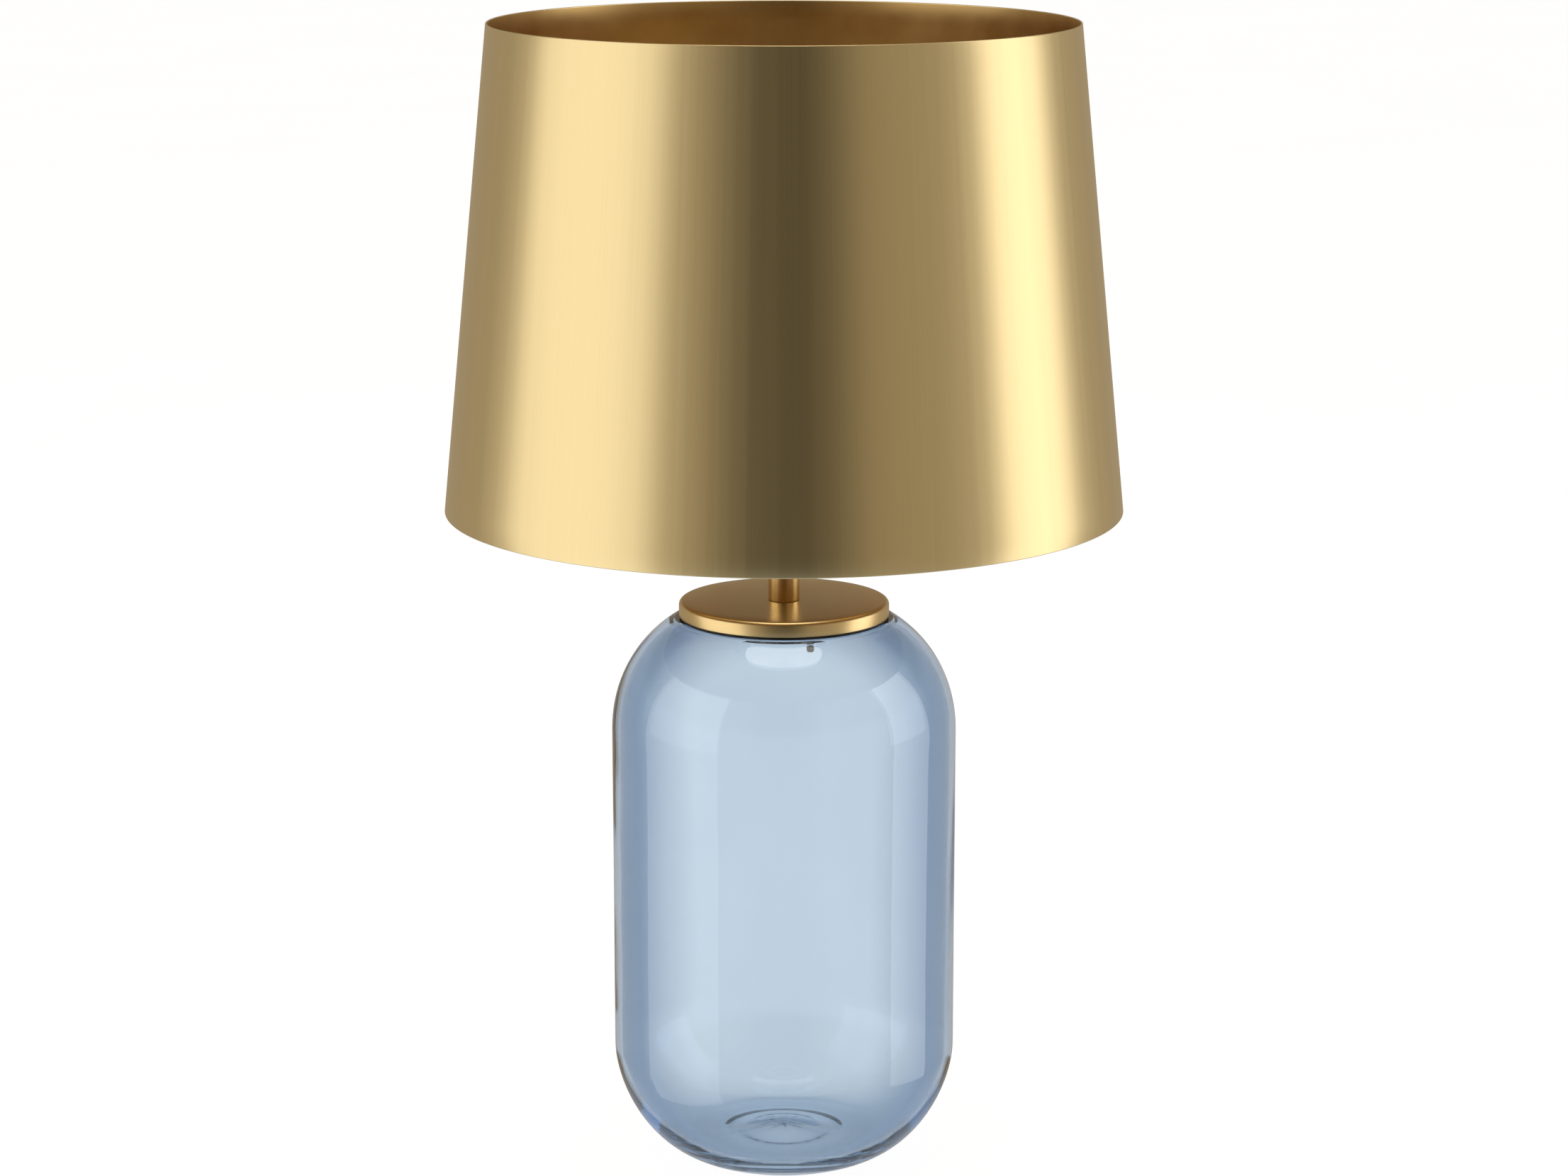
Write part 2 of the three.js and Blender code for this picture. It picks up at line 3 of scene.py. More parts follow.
import bpy
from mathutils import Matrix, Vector


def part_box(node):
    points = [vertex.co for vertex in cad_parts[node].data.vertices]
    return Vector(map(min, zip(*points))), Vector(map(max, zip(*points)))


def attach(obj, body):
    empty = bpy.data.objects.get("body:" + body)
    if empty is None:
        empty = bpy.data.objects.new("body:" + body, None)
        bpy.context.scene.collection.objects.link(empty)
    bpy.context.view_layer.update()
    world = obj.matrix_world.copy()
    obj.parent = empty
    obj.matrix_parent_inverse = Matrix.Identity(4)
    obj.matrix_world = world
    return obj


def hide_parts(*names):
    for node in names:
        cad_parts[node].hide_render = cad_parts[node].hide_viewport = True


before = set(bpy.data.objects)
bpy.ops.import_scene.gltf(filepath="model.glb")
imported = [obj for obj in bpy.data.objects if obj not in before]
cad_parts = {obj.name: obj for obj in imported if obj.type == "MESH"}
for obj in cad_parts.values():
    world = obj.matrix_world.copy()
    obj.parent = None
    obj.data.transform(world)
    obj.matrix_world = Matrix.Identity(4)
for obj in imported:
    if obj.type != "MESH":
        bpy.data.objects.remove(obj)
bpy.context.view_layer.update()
print("frame loaded:", len(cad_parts), "nodes")


# Places and sizes, all read from the frame

def bottomOf(node):
    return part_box(node)[0].z


def topOf(node):
    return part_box(node)[1].z


def heightsOf(node):
    return bottomOf(node), topOf(node)


def radiusOf(node):
    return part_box(node)[1].x


def middleOf(node):
    low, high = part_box(node)
    return (low + high) / 2


rodBore = 0.0053  # clears the M10 rod


# Modelling helpers

def deselectAll():
    if bpy.context.mode != "OBJECT":
        bpy.ops.object.mode_set(mode="OBJECT")
    bpy.ops.object.select_all(action="DESELECT")


def pick(piece):
    deselectAll()
    piece.select_set(True)
    bpy.context.view_layer.objects.active = piece


def editAll(piece):
    pick(piece)
    bpy.ops.object.mode_set(mode="EDIT")
    bpy.ops.mesh.select_all(action="SELECT")


def endEdit():
    bpy.ops.object.mode_set(mode="OBJECT")


def pushFaces(way):
    bpy.ops.mesh.extrude_region_move(TRANSFORM_OT_translate={"value": way})


def swellFaces(depth):
    bpy.ops.mesh.extrude_region_shrink_fatten(TRANSFORM_OT_shrink_fatten={"value": depth})
    endEdit()


def inRib(centre, ribs):
    # every second stretch of a rim, counted round the axis
    return math.degrees(math.atan2(centre.y, centre.x)) % (360 / ribs) < 180 / ribs


def settle(piece):
    # puts the piece's place and size into its mesh
    pick(piece)
    bpy.ops.object.transform_apply(location=True, rotation=True, scale=True)


def applyAll(piece):
    pick(piece)
    for modifier in list(piece.modifiers):
        bpy.ops.object.modifier_apply(modifier=modifier.name)


def facesWhere(piece, test):
    # in edit mode afterwards, with only the faces that pass the test selected
    pick(piece)
    bpy.ops.object.mode_set(mode="EDIT")
    bpy.ops.mesh.select_mode(type="FACE")
    bpy.ops.mesh.select_all(action="DESELECT")
    bpy.ops.object.mode_set(mode="OBJECT")
    for face in piece.data.polygons:
        face.select = bool(test(face.center, face.normal))
    bpy.ops.object.mode_set(mode="EDIT")


def spun(name, outline, steps=96, closed=True):
    # draws the outline point by point at the +X side, then spins it about the lamp's axis
    deselectAll()
    firstR, firstZ = outline[0]
    bpy.ops.mesh.primitive_plane_add(size=0.001, location=(0, 0, 0))
    piece = bpy.context.object
    piece.name = piece.data.name = name
    bpy.ops.object.mode_set(mode="EDIT")
    bpy.ops.mesh.select_mode(type="VERT")
    bpy.ops.mesh.select_all(action="SELECT")
    bpy.ops.mesh.merge(type="CENTER")
    bpy.ops.transform.translate(value=(firstR, 0, firstZ))
    for (r0, z0), (r1, z1) in zip(outline, outline[1:]):
        step = {"value": (r1 - r0, 0, z1 - z0)}
        bpy.ops.mesh.extrude_region_move(TRANSFORM_OT_translate=step)
    if closed:
        lastR, lastZ = outline[-1]
        step = {"value": (firstR - lastR, 0, firstZ - lastZ)}
        bpy.ops.mesh.extrude_region_move(TRANSFORM_OT_translate=step)
    bpy.ops.mesh.select_all(action="SELECT")
    bpy.ops.mesh.remove_doubles(threshold=1e-7)
    bpy.ops.mesh.spin(steps=steps, angle=2 * math.pi, center=(0, 0, 0), axis=(0, 0, 1))
    bpy.ops.mesh.select_all(action="SELECT")
    bpy.ops.mesh.remove_doubles(threshold=2e-6)
    bpy.ops.mesh.normals_make_consistent(inside=False)
    endEdit()
    return piece


def spunSheet(name, outline, steps, thickness):
    # an open spun surface that gets its wall inwards
    piece = spun(name, outline, steps, closed=False)
    # every face has its say, measured from the lamp's axis, so the wall never grows outwards
    if sum(face.area * face.normal.xy.dot(face.center.xy) for face in piece.data.polygons) < 0:
        editAll(piece)
        bpy.ops.mesh.flip_normals()
        endEdit()
    wall = piece.modifiers.new("wall", "SOLIDIFY")
    wall.thickness = thickness
    wall.offset = -1
    wall.use_even_offset = True
    return piece


def arc(centreR, centreZ, radius, fromDegrees, toDegrees, count=5):
    points = []
    for i in range(count + 1):
        turn = math.radians(fromDegrees + (toDegrees - fromDegrees) * i / count)
        points.append((centreR + radius * math.cos(turn), centreZ + radius * math.sin(turn)))
    return points


def ringOutline(innerR, outerR, lowZ, highZ, edge):
    # a ring's section with all four corners rounded
    return (
        arc(outerR - edge, lowZ + edge, edge, -90, 0, 3)
        + arc(outerR - edge, highZ - edge, edge, 0, 90, 3)
        + arc(innerR + edge, highZ - edge, edge, 90, 180, 3)
        + arc(innerR + edge, lowZ + edge, edge, 180, 270, 3)
    )


def upWall(radius, lowZ, highZ, count):
    return [(radius, lowZ + (highZ - lowZ) * i / count) for i in range(count + 1)]


def cubeAt(width, depth, height, centre):
    deselectAll()
    bpy.ops.mesh.primitive_cube_add(size=1, location=centre)
    cube = bpy.context.object
    cube.scale = (width, depth, height)
    settle(cube)
    return cube


def rodAt(radius, height, centre, turn=(0, 0, 0), sides=32):
    deselectAll()
    bpy.ops.mesh.primitive_cylinder_add(
        vertices=sides, radius=radius, depth=height, location=centre, rotation=turn
    )
    made = bpy.context.object
    settle(made)
    return made


def cutAway(piece, cutters):
    for cutter in cutters:
        pick(piece)
        cut = piece.modifiers.new("cut", "BOOLEAN")
        cut.operation = "DIFFERENCE"
        cut.solver = "EXACT"
        cut.object = cutter
        bpy.ops.object.modifier_apply(modifier=cut.name)
        bpy.data.objects.remove(cutter)
    return piece


def mergeInto(piece, others):
    pick(piece)
    for other in others:
        other.select_set(True)
    bpy.context.view_layer.objects.active = piece
    bpy.ops.object.join()
    return piece


def bevelEdges(piece, width, segments=2, limit=30):
    bevel = piece.modifiers.new("edge", "BEVEL")
    bevel.width = width
    bevel.segments = segments
    bevel.limit_method = "ANGLE"
    bevel.angle_limit = math.radians(limit)
    applyAll(piece)


def rollThread(piece, radius, lowZ, highZ, pitch, depth, band, sharpness=1):
    # raises a helical ridge on the wall that lies within band of the radius
    group = piece.vertex_groups.new(name="thread")
    for vertex in piece.data.vertices:
        x, y, z = vertex.co
        if not lowZ < z < highZ or abs(math.hypot(x, y) - radius) > band:
            continue
        turn = math.atan2(y, x) / (2 * math.pi)
        wave = 0.5 + 0.5 * math.cos(2 * math.pi * (z / pitch - turn))
        fade = min(1, (z - lowZ) / pitch, (highZ - z) / pitch)
        group.add([vertex.index], wave ** sharpness * fade, "REPLACE")
    ridge = piece.modifiers.new("thread", "DISPLACE")
    ridge.vertex_group = group.name
    ridge.mid_level = 0
    ridge.strength = depth
    pick(piece)
    bpy.ops.object.modifier_move_to_index(modifier=ridge.name, index=0)
    applyAll(piece)
    piece.vertex_groups.clear()


def wire(name, points, radius, sides=4):
    # a round wire through the points, closed at both ends
    deselectAll()
    bpy.ops.curve.primitive_nurbs_path_add(location=(0, 0, 0))
    curve = bpy.context.object
    curve.name = name
    bpy.ops.object.mode_set(mode="EDIT")
    bpy.ops.curve.select_all(action="SELECT")
    bpy.ops.curve.delete(type="VERT")
    bpy.ops.object.mode_set(mode="OBJECT")
    line = curve.data.splines.new("POLY")
    line.points.add(len(points) - 1)
    for point, place in zip(line.points, points):
        point.co = (*place, 1)
    curve.data.dimensions = "3D"
    curve.data.bevel_depth = radius
    curve.data.bevel_resolution = sides
    curve.data.use_fill_caps = True
    pick(curve)
    bpy.ops.object.convert(target="MESH")
    made = bpy.context.object
    made.name = made.data.name = name
    editAll(made)
    bpy.ops.mesh.remove_doubles(threshold=1e-6)
    bpy.ops.mesh.normals_make_consistent(inside=False)
    endEdit()
    return made


def cloned(piece):
    copy = piece.copy()
    copy.data = piece.data.copy()
    bpy.context.scene.collection.objects.link(copy)
    return copy


def around(piece, count, turnStep, firstTurn=0.0):
    # copies of a piece about the lamp's axis, each with its own mesh, the first one included
    copies = [piece] + [cloned(piece) for _ in range(count - 1)]
    for i, copy in enumerate(copies):
        copy.rotation_euler = (0, 0, firstTurn + i * turnStep)
        settle(copy)
    return copies


def finishPiece(piece, body, material, nodes=(), angle=32):
    pick(piece)
    bpy.ops.object.shade_smooth_by_angle(angle=math.radians(angle))
    piece.data.materials.clear()
    piece.data.materials.append(material)
    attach(piece, body)
    if nodes:
        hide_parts(*nodes)
    return piece


# Materials

def newMaterial(name):
    material = bpy.data.materials.new(name)
    material.use_nodes = True
    tree = material.node_tree
    return material, tree, tree.nodes["Principled BSDF"]


def addNode(tree, kind, **settings):
    node = tree.nodes.new(kind)
    for key, value in settings.items():
        setattr(node, key, value)
    return node


def noiseOn(tree, vector, scale, detail=4.0, roughness=0.55):
    noise = addNode(tree, "ShaderNodeTexNoise")
    noise.inputs["Scale"].default_value = scale
    noise.inputs["Detail"].default_value = detail
    noise.inputs["Roughness"].default_value = roughness
    tree.links.new(vector, noise.inputs["Vector"])
    return noise.outputs["Fac"]


def spread(tree, value, low, high, fromLow=0.3, fromHigh=0.7):
    # maps a noise value onto a range
    remap = addNode(tree, "ShaderNodeMapRange")
    remap.inputs["From Min"].default_value = fromLow
    remap.inputs["From Max"].default_value = fromHigh
    remap.inputs["To Min"].default_value = low
    remap.inputs["To Max"].default_value = high
    tree.links.new(value, remap.inputs["Value"])
    return remap.outputs["Result"]


def twoTone(tree, value, dark, light, fromLow=0.3, fromHigh=0.7):
    ramp = addNode(tree, "ShaderNodeValToRGB")
    ramp.color_ramp.elements[0].position = fromLow
    ramp.color_ramp.elements[1].position = fromHigh
    ramp.color_ramp.elements[0].color = (*dark, 1)
    ramp.color_ramp.elements[1].color = (*light, 1)
    tree.links.new(value, ramp.inputs["Fac"])
    return ramp.outputs["Color"]


def bumpFrom(tree, value, strength, distance):
    bump = addNode(tree, "ShaderNodeBump")
    bump.inputs["Strength"].default_value = strength
    bump.inputs["Distance"].default_value = distance
    tree.links.new(value, bump.inputs["Height"])
    return bump.outputs["Normal"]


def levelDirection(tree, split):
    # the level part of a split vector, at length one
    flat = addNode(tree, "ShaderNodeCombineXYZ")
    unit = addNode(tree, "ShaderNodeVectorMath", operation="NORMALIZE")
    tree.links.new(split.outputs["X"], flat.inputs["X"])
    tree.links.new(split.outputs["Y"], flat.inputs["Y"])
    tree.links.new(flat.outputs["Vector"], unit.inputs[0])
    return unit.outputs["Vector"]


def smoothShare(tree, value, low, high):
    share = addNode(tree, "ShaderNodeMapRange", interpolation_type="SMOOTHSTEP")
    share.inputs["From Min"].default_value = low
    share.inputs["From Max"].default_value = high
    tree.links.new(value, share.inputs["Value"])
    return share.outputs["Result"]


def mixTones(tree, share, under, over):
    # under is a tone or a socket, over is a tone
    mix = addNode(tree, "ShaderNodeMix", data_type="RGBA")
    mix.inputs["B"].default_value = (*over, 1)
    tree.links.new(share, mix.inputs["Factor"])
    if isinstance(under, tuple):
        mix.inputs["A"].default_value = (*under, 1)
    else:
        tree.links.new(under, mix.inputs["A"])
    return mix.outputs["Result"]


def objectPoint(tree):
    return addNode(tree, "ShaderNodeTexCoord").outputs["Object"]


def streakPoint(tree, across, along):
    # a point that changes fast round the lamp's axis and slowly up it
    split = addNode(tree, "ShaderNodeSeparateXYZ")
    wide = addNode(tree, "ShaderNodeVectorMath", operation="SCALE")
    tall = addNode(tree, "ShaderNodeMath", operation="MULTIPLY")
    lift = addNode(tree, "ShaderNodeCombineXYZ")
    total = addNode(tree, "ShaderNodeVectorMath", operation="ADD")
    wide.inputs["Scale"].default_value = across
    tall.inputs[1].default_value = along
    tree.links.new(objectPoint(tree), split.inputs["Vector"])
    tree.links.new(levelDirection(tree, split), wide.inputs[0])
    tree.links.new(split.outputs["Z"], tall.inputs[0])
    tree.links.new(tall.outputs["Value"], lift.inputs["Z"])
    tree.links.new(wide.outputs["Vector"], total.inputs[0])
    tree.links.new(lift.outputs["Vector"], total.inputs[1])
    return total.outputs["Vector"]


def satinGoldSheet():
    material, tree, shader = newMaterial("satinGoldSheet")
    fine = noiseOn(tree, streakPoint(tree, 60, 0.5), 6.0, 6, 0.7)
    broad = noiseOn(tree, streakPoint(tree, 6, 0.3), 4.0, 3)
    colour = twoTone(tree, fine, (0.74, 0.60, 0.32), (0.80, 0.655, 0.36), 0.25, 0.75)
    tree.links.new(colour, shader.inputs["Base Color"])
    mixed = addNode(tree, "ShaderNodeMath", operation="ADD")
    tree.links.new(spread(tree, fine, 0.0, 0.03), mixed.inputs[0])
    tree.links.new(spread(tree, broad, 0.27, 0.31), mixed.inputs[1])
    tree.links.new(mixed.outputs["Value"], shader.inputs["Roughness"])
    tree.links.new(bumpFrom(tree, fine, 0.04, 0.0001), shader.inputs["Normal"])
    shader.inputs["Metallic"].default_value = 1
    return material


def satinGold(name="satinGold", rough=0.29, dark=(0.75, 0.565, 0.27), light=(0.81, 0.615, 0.31)):
    material, tree, shader = newMaterial(name)
    point = objectPoint(tree)
    grain = noiseOn(tree, point, 2600, 3)
    cloud = noiseOn(tree, point, 45, 4)
    colour = twoTone(tree, cloud, dark, light)
    tree.links.new(colour, shader.inputs["Base Color"])
    tree.links.new(spread(tree, cloud, rough - 0.02, rough + 0.05), shader.inputs["Roughness"])
    tree.links.new(bumpFrom(tree, grain, 0.02, 0.00005), shader.inputs["Normal"])
    shader.inputs["Metallic"].default_value = 1
    return material


def blueGlass():
    material, tree, shader = newMaterial("blueGlass")
    ripple = noiseOn(tree, streakPoint(tree, 1.2, 7), 1.6, 2)
    tint = twoTone(tree, ripple, (0.735, 0.812, 0.880), (0.755, 0.828, 0.890))
    # light that crosses the wall on the slant takes up more of the glass's colour
    slant = addNode(tree, "ShaderNodeLayerWeight")
    slant.inputs["Blend"].default_value = 0.5
    deeper = addNode(tree, "ShaderNodeMix", data_type="RGBA", blend_type="MULTIPLY")
    deeper.inputs["B"].default_value = (0.40, 0.48, 0.59, 1)
    share = spread(tree, slant.outputs["Facing"], 0, 1, 0.18, 0.5)
    tree.links.new(share, deeper.inputs["Factor"])
    tree.links.new(tint, deeper.inputs["A"])
    tree.links.new(deeper.outputs["Result"], shader.inputs["Base Color"])
    tree.links.new(bumpFrom(tree, ripple, 0.12, 0.002), shader.inputs["Normal"])
    shader.inputs["Roughness"].default_value = 0.0
    shader.inputs["IOR"].default_value = 1.48
    shader.inputs["Transmission Weight"].default_value = 1
    depth = addNode(tree, "ShaderNodeVolumeAbsorption")
    depth.inputs["Color"].default_value = (0.05, 0.35, 0.60, 1)
    depth.inputs["Density"].default_value = 12
    tree.links.new(depth.outputs["Volume"], tree.nodes["Material Output"].inputs["Volume"])
    return material


def groundGlass():
    material, tree, shader = newMaterial("groundGlass")
    grain = noiseOn(tree, objectPoint(tree), 1800, 4)
    tint = twoTone(tree, grain, (0.50, 0.58, 0.70), (0.74, 0.80, 0.88))
    tree.links.new(tint, shader.inputs["Base Color"])
    tree.links.new(spread(tree, grain, 0.35, 0.6), shader.inputs["Roughness"])
    shader.inputs["IOR"].default_value = 1.48
    shader.inputs["Transmission Weight"].default_value = 0.8
    return material


def clearGlass():
    material, tree, shader = newMaterial("clearGlass")
    ripple = noiseOn(tree, objectPoint(tree), 30, 2)
    tint = twoTone(tree, ripple, (0.97, 0.975, 0.98), (0.99, 0.99, 0.99))
    tree.links.new(tint, shader.inputs["Base Color"])
    shader.inputs["Roughness"].default_value = 0.0
    shader.inputs["IOR"].default_value = 1.45
    shader.inputs["Transmission Weight"].default_value = 1
    return material


def plainFinish(name, dark, light, lowRough, highRough, grainScale, bump, metallic=0.0):
    # mottled colour, uneven gloss and a fine surface grain
    material, tree, shader = newMaterial(name)
    point = objectPoint(tree)
    grain = noiseOn(tree, point, grainScale, 4)
    cloud = noiseOn(tree, point, grainScale / 14, 3)
    tree.links.new(twoTone(tree, cloud, dark, light), shader.inputs["Base Color"])
    tree.links.new(spread(tree, grain, lowRough, highRough), shader.inputs["Roughness"])
    tree.links.new(bumpFrom(tree, grain, bump, 0.0001), shader.inputs["Normal"])
    shader.inputs["Metallic"].default_value = metallic
    return material


goldSheet = satinGoldSheet()
gold = satinGold()
# a lighter copy of the gold for the stem: the lighter colour is painted light that brightens its
# highlights; the lower roughness sharpens them
paintedLightStemGold = satinGold("paintedLightStemGold", 0.22, (0.83, 0.65, 0.35), (0.89, 0.70, 0.39))
# a darker, browner copy of the gold: painted shade for the shade's inner faces, where little light
# reaches
paintedShadeGold = satinGold("paintedShadeGold", 0.34, (0.58, 0.39, 0.155), (0.65, 0.44, 0.185))
vesselGlass = blueGlass()
pontilGlass = groundGlass()
bulbClear = clearGlass()
rubber = plainFinish("blackRubber",
    (0.010, 0.010, 0.011), (0.022, 0.022, 0.023), 0.55, 0.75, 1500, 0.25)
plastic = plainFinish("blackPlastic",
    (0.014, 0.014, 0.015), (0.026, 0.026, 0.028), 0.34, 0.48, 1900, 0.18)
whitePlastic = plainFinish("whitePlastic",
    (0.76, 0.74, 0.68), (0.83, 0.81, 0.76), 0.35, 0.5, 1600, 0.12)
zinc = plainFinish("zincSteel", (0.50, 0.51, 0.53), (0.62, 0.63, 0.66), 0.26, 0.42, 1200, 0.12, 1)
brass = plainFinish("pressedBrass",
    (0.66, 0.47, 0.20), (0.76, 0.56, 0.27), 0.2, 0.34, 1300, 0.08, 1)
nickel = plainFinish("nickel", (0.60, 0.58, 0.54), (0.72, 0.70, 0.66), 0.14, 0.26, 1100, 0.06, 1)
solder = plainFinish("solder", (0.46, 0.46, 0.47), (0.58, 0.58, 0.60), 0.3, 0.5, 900, 0.3, 1)
darkSteel = plainFinish("darkSteel",
    (0.045, 0.047, 0.052), (0.08, 0.082, 0.088), 0.4, 0.55, 1300, 0.12, 1)
phosphor = plainFinish("phosphor", (0.80, 0.55, 0.14), (0.90, 0.68, 0.24), 0.5, 0.7, 2200, 0.2)
blackGlass = plainFinish("blackGlass",
    (0.012, 0.012, 0.014), (0.02, 0.02, 0.024), 0.06, 0.14, 800, 0.05)
boardGreen = plainFinish("boardGreen", (0.03, 0.13, 0.06), (0.05, 0.18, 0.08), 0.35, 0.5, 1400, 0.1)
print("materials made")


# The glass

glassShape = {
    "wall": 0.003,
    "floor": 0.0055,
    "standR": 0.0393,
    "puntR": 0.030,
    "puntRise": 0.004,
    "cornerHeight": 0.0496,
    "cornerPower": 1.72,
    "shoulderHeight": 0.05075,
    "shoulderPower": 2.04,
    "crownR": 0.018,
    "mouthR": 0.0426,
    "lipWidth": 0.0064,
    "lipEdge": 0.0007,
    "grooveR": 0.0236,
    "grooveReach": 0.0068,
    "grooveDepth": 0.00085,
    "wave": 0.00025,
}


def superCorner(centreR, centreZ, reachR, reachZ, power, count, lastTurn=1.0):
    points = []
    for i in range(count + 1):
        turn = i / count * lastTurn * math.pi / 2
        side = max(math.cos(turn), 0) ** (2 / power)
        rise = math.sin(turn) ** (2 / power)
        points.append((centreR + reachR * side, centreZ + reachZ * rise))
    return points


def glassSide(wallR, edgeR, lipZ, footZ, count):
    # one face of the glass, from its foot up to the lip
    shape = glassShape
    corner = superCorner(
        shape["standR"], shape["cornerHeight"], wallR - shape["standR"],
        footZ - shape["cornerHeight"], shape["cornerPower"], count,
    )
    share = (edgeR - shape["crownR"]) / (wallR - shape["crownR"])
    lastTurn = math.acos(share ** (shape["shoulderPower"] / 2))
    reachZ = shape["shoulderHeight"] / math.sin(lastTurn) ** (2 / shape["shoulderPower"])
    shoulder = superCorner(
        shape["crownR"], lipZ - shape["shoulderHeight"], wallR - shape["crownR"],
        reachZ, shape["shoulderPower"], count, lastTurn / (math.pi / 2),
    )
    wallLow, wallHigh = corner[0][1], shoulder[0][1]
    wall = upWall(wallR, wallLow, wallHigh, 18)[1:-1]
    return corner[::-1] + wall + shoulder


def puntLine(edgeR, edgeZ, count, groove=0.0):
    # the kicked-up floor; its underside has a shallow ring pressed into it
    shape = glassShape
    points = []
    for i in range(count):
        r = edgeR * i / count
        z = edgeZ + shape["puntRise"] * (1 + math.cos(math.pi * r / edgeR)) / 2
        offRing = abs(r - shape["grooveR"]) / shape["grooveReach"]
        if offRing < 1:
            z += groove * (1 + math.cos(math.pi * offRing)) / 2
        points.append((r, z))
    return points + [(edgeR, edgeZ)]


def makeGlass():
    shape = glassShape
    lipZ = topOf("glass_body")
    outerR = radiusOf("glass_body")
    edge = shape["lipEdge"]
    lipR = shape["mouthR"] + shape["lipWidth"]
    outside = puntLine(shape["puntR"], 0, 40, shape["grooveDepth"])
    outside += glassSide(outerR, lipR, lipZ, 0, 30)
    inside = puntLine(shape["puntR"], shape["floor"], 20) + glassSide(
        outerR - shape["wall"], shape["mouthR"], lipZ, shape["floor"], 30
    )
    rounded = outside[:-1] + [
        (lipR + edge * 0.35, lipZ - edge * 0.9),
        (lipR - edge * 0.3, lipZ - edge * 0.15),
        (lipR - edge * 1.2, lipZ),
        (shape["mouthR"] + edge, lipZ),
        (shape["mouthR"] + edge * 0.25, lipZ - edge * 0.4),
    ]
    vessel = spun("glass_vessel", rounded + inside[::-1][1:], 160, closed=False)
    unevenWalls(vessel, lipZ)
    return finishPiece(vessel, "glass", vesselGlass, ["glass_body"], 40)


def unevenWalls(vessel, lipZ):
    # blown glass is never quite true: the walls wander a little between foot and lip
    group = vessel.vertex_groups.new(name="wall")
    for vertex in vessel.data.vertices:
        z = vertex.co.z
        weight = min(1, max(0, (z - 0.02) / 0.03), max(0, (lipZ - 0.01 - z) / 0.03))
        group.add([vertex.index], weight, "REPLACE")
    clouds = bpy.data.textures.new("glassWaves", "CLOUDS")
    clouds.noise_scale = 0.07
    clouds.noise_depth = 0
    wave = vessel.modifiers.new("wave", "DISPLACE")
    wave.texture = clouds
    wave.vertex_group = group.name
    wave.strength = glassShape["wave"]
    applyAll(vessel)
    vessel.vertex_groups.clear()
    bpy.data.textures.remove(clouds)


def makePontilMark():
    # the small star-shaped scar where the glass was broken off its rod
    shape = {"innerR": 0.0004, "outerR": 0.0024, "points": 11, "thick": 0.0003, "stretch": 1.2}
    deselectAll()
    centreZ = glassShape["puntRise"]
    bpy.ops.mesh.primitive_circle_add(
        vertices=2 * shape["points"], radius=shape["outerR"], fill_type="NGON",
        location=(0, 0, centreZ - shape["thick"]),
    )
    star = bpy.context.object
    star.name = star.data.name = "pontil_mark"
    settle(star)
    for i, vertex in enumerate(star.data.vertices):
        wanted = shape["innerR"] if i % 2 else shape["outerR"] * (0.7 + 0.3 * math.sin(5.0 * i))
        scale = wanted / math.hypot(vertex.co.x, vertex.co.y)
        vertex.co.x *= scale * shape["stretch"]
        vertex.co.y *= scale
    editAll(star)
    pushFaces((0, 0, shape["thick"] * 0.8))
    bpy.ops.mesh.select_all(action="SELECT")
    bpy.ops.mesh.normals_make_consistent(inside=False)
    endEdit()
    return finishPiece(star, "glass", pontilGlass)


makeGlass()
makePontilMark()
print("glass made")


# The lid and what hangs under it

lidShape = {"edge": 0.002, "skirt": 0.002, "topWall": 0.0016, "lowEdge": 0.0003, "bore": rodBore}


def makeLid():
    shape = lidShape
    lowZ, highZ = heightsOf("lid_cap")
    outerR = radiusOf("lid_cap")
    edge, low = shape["edge"], shape["lowEdge"]
    innerR = outerR - shape["skirt"]
    ceiling = highZ - shape["topWall"]
    outline = (
        [(shape["bore"], ceiling), (innerR - 0.001, ceiling), (innerR, ceiling - 0.001)]
        + [(innerR, lowZ + low), (innerR + low, lowZ)]
        + arc(outerR - low, lowZ + low, low, -90, 0, 3)
        + arc(outerR - edge, highZ - edge, edge, 0, 90, 10)
        + [(outerR * share, highZ) for share in (0.8, 0.6, 0.4, 0.25)]
        + [(shape["bore"], highZ)]
    )
    lid = spun("lid", outline, 160)
    low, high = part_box("cord_bushing")
    notch = cubeAt(
        high.x - low.x - 0.0016, 0.006, high.z - low.z + 0.0005,
        (0, outerR - shape["skirt"] / 2, (low.z + high.z) / 2 - 0.0002),
    )
    cutAway(lid, [notch])
    return finishPiece(lid, "lid", gold, ["lid_cap"], 35)


def makeGasket():
    outline = ringOutline(
        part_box("lid_gasket")[1].x - 0.0047, radiusOf("lid_gasket"),
        bottomOf("lid_gasket"), topOf("lid_gasket"), 0.0003,
    )
    ring = spun("lid_gasket_ring", outline, 128)
    return finishPiece(ring, "lid", rubber, ["lid_gasket"])


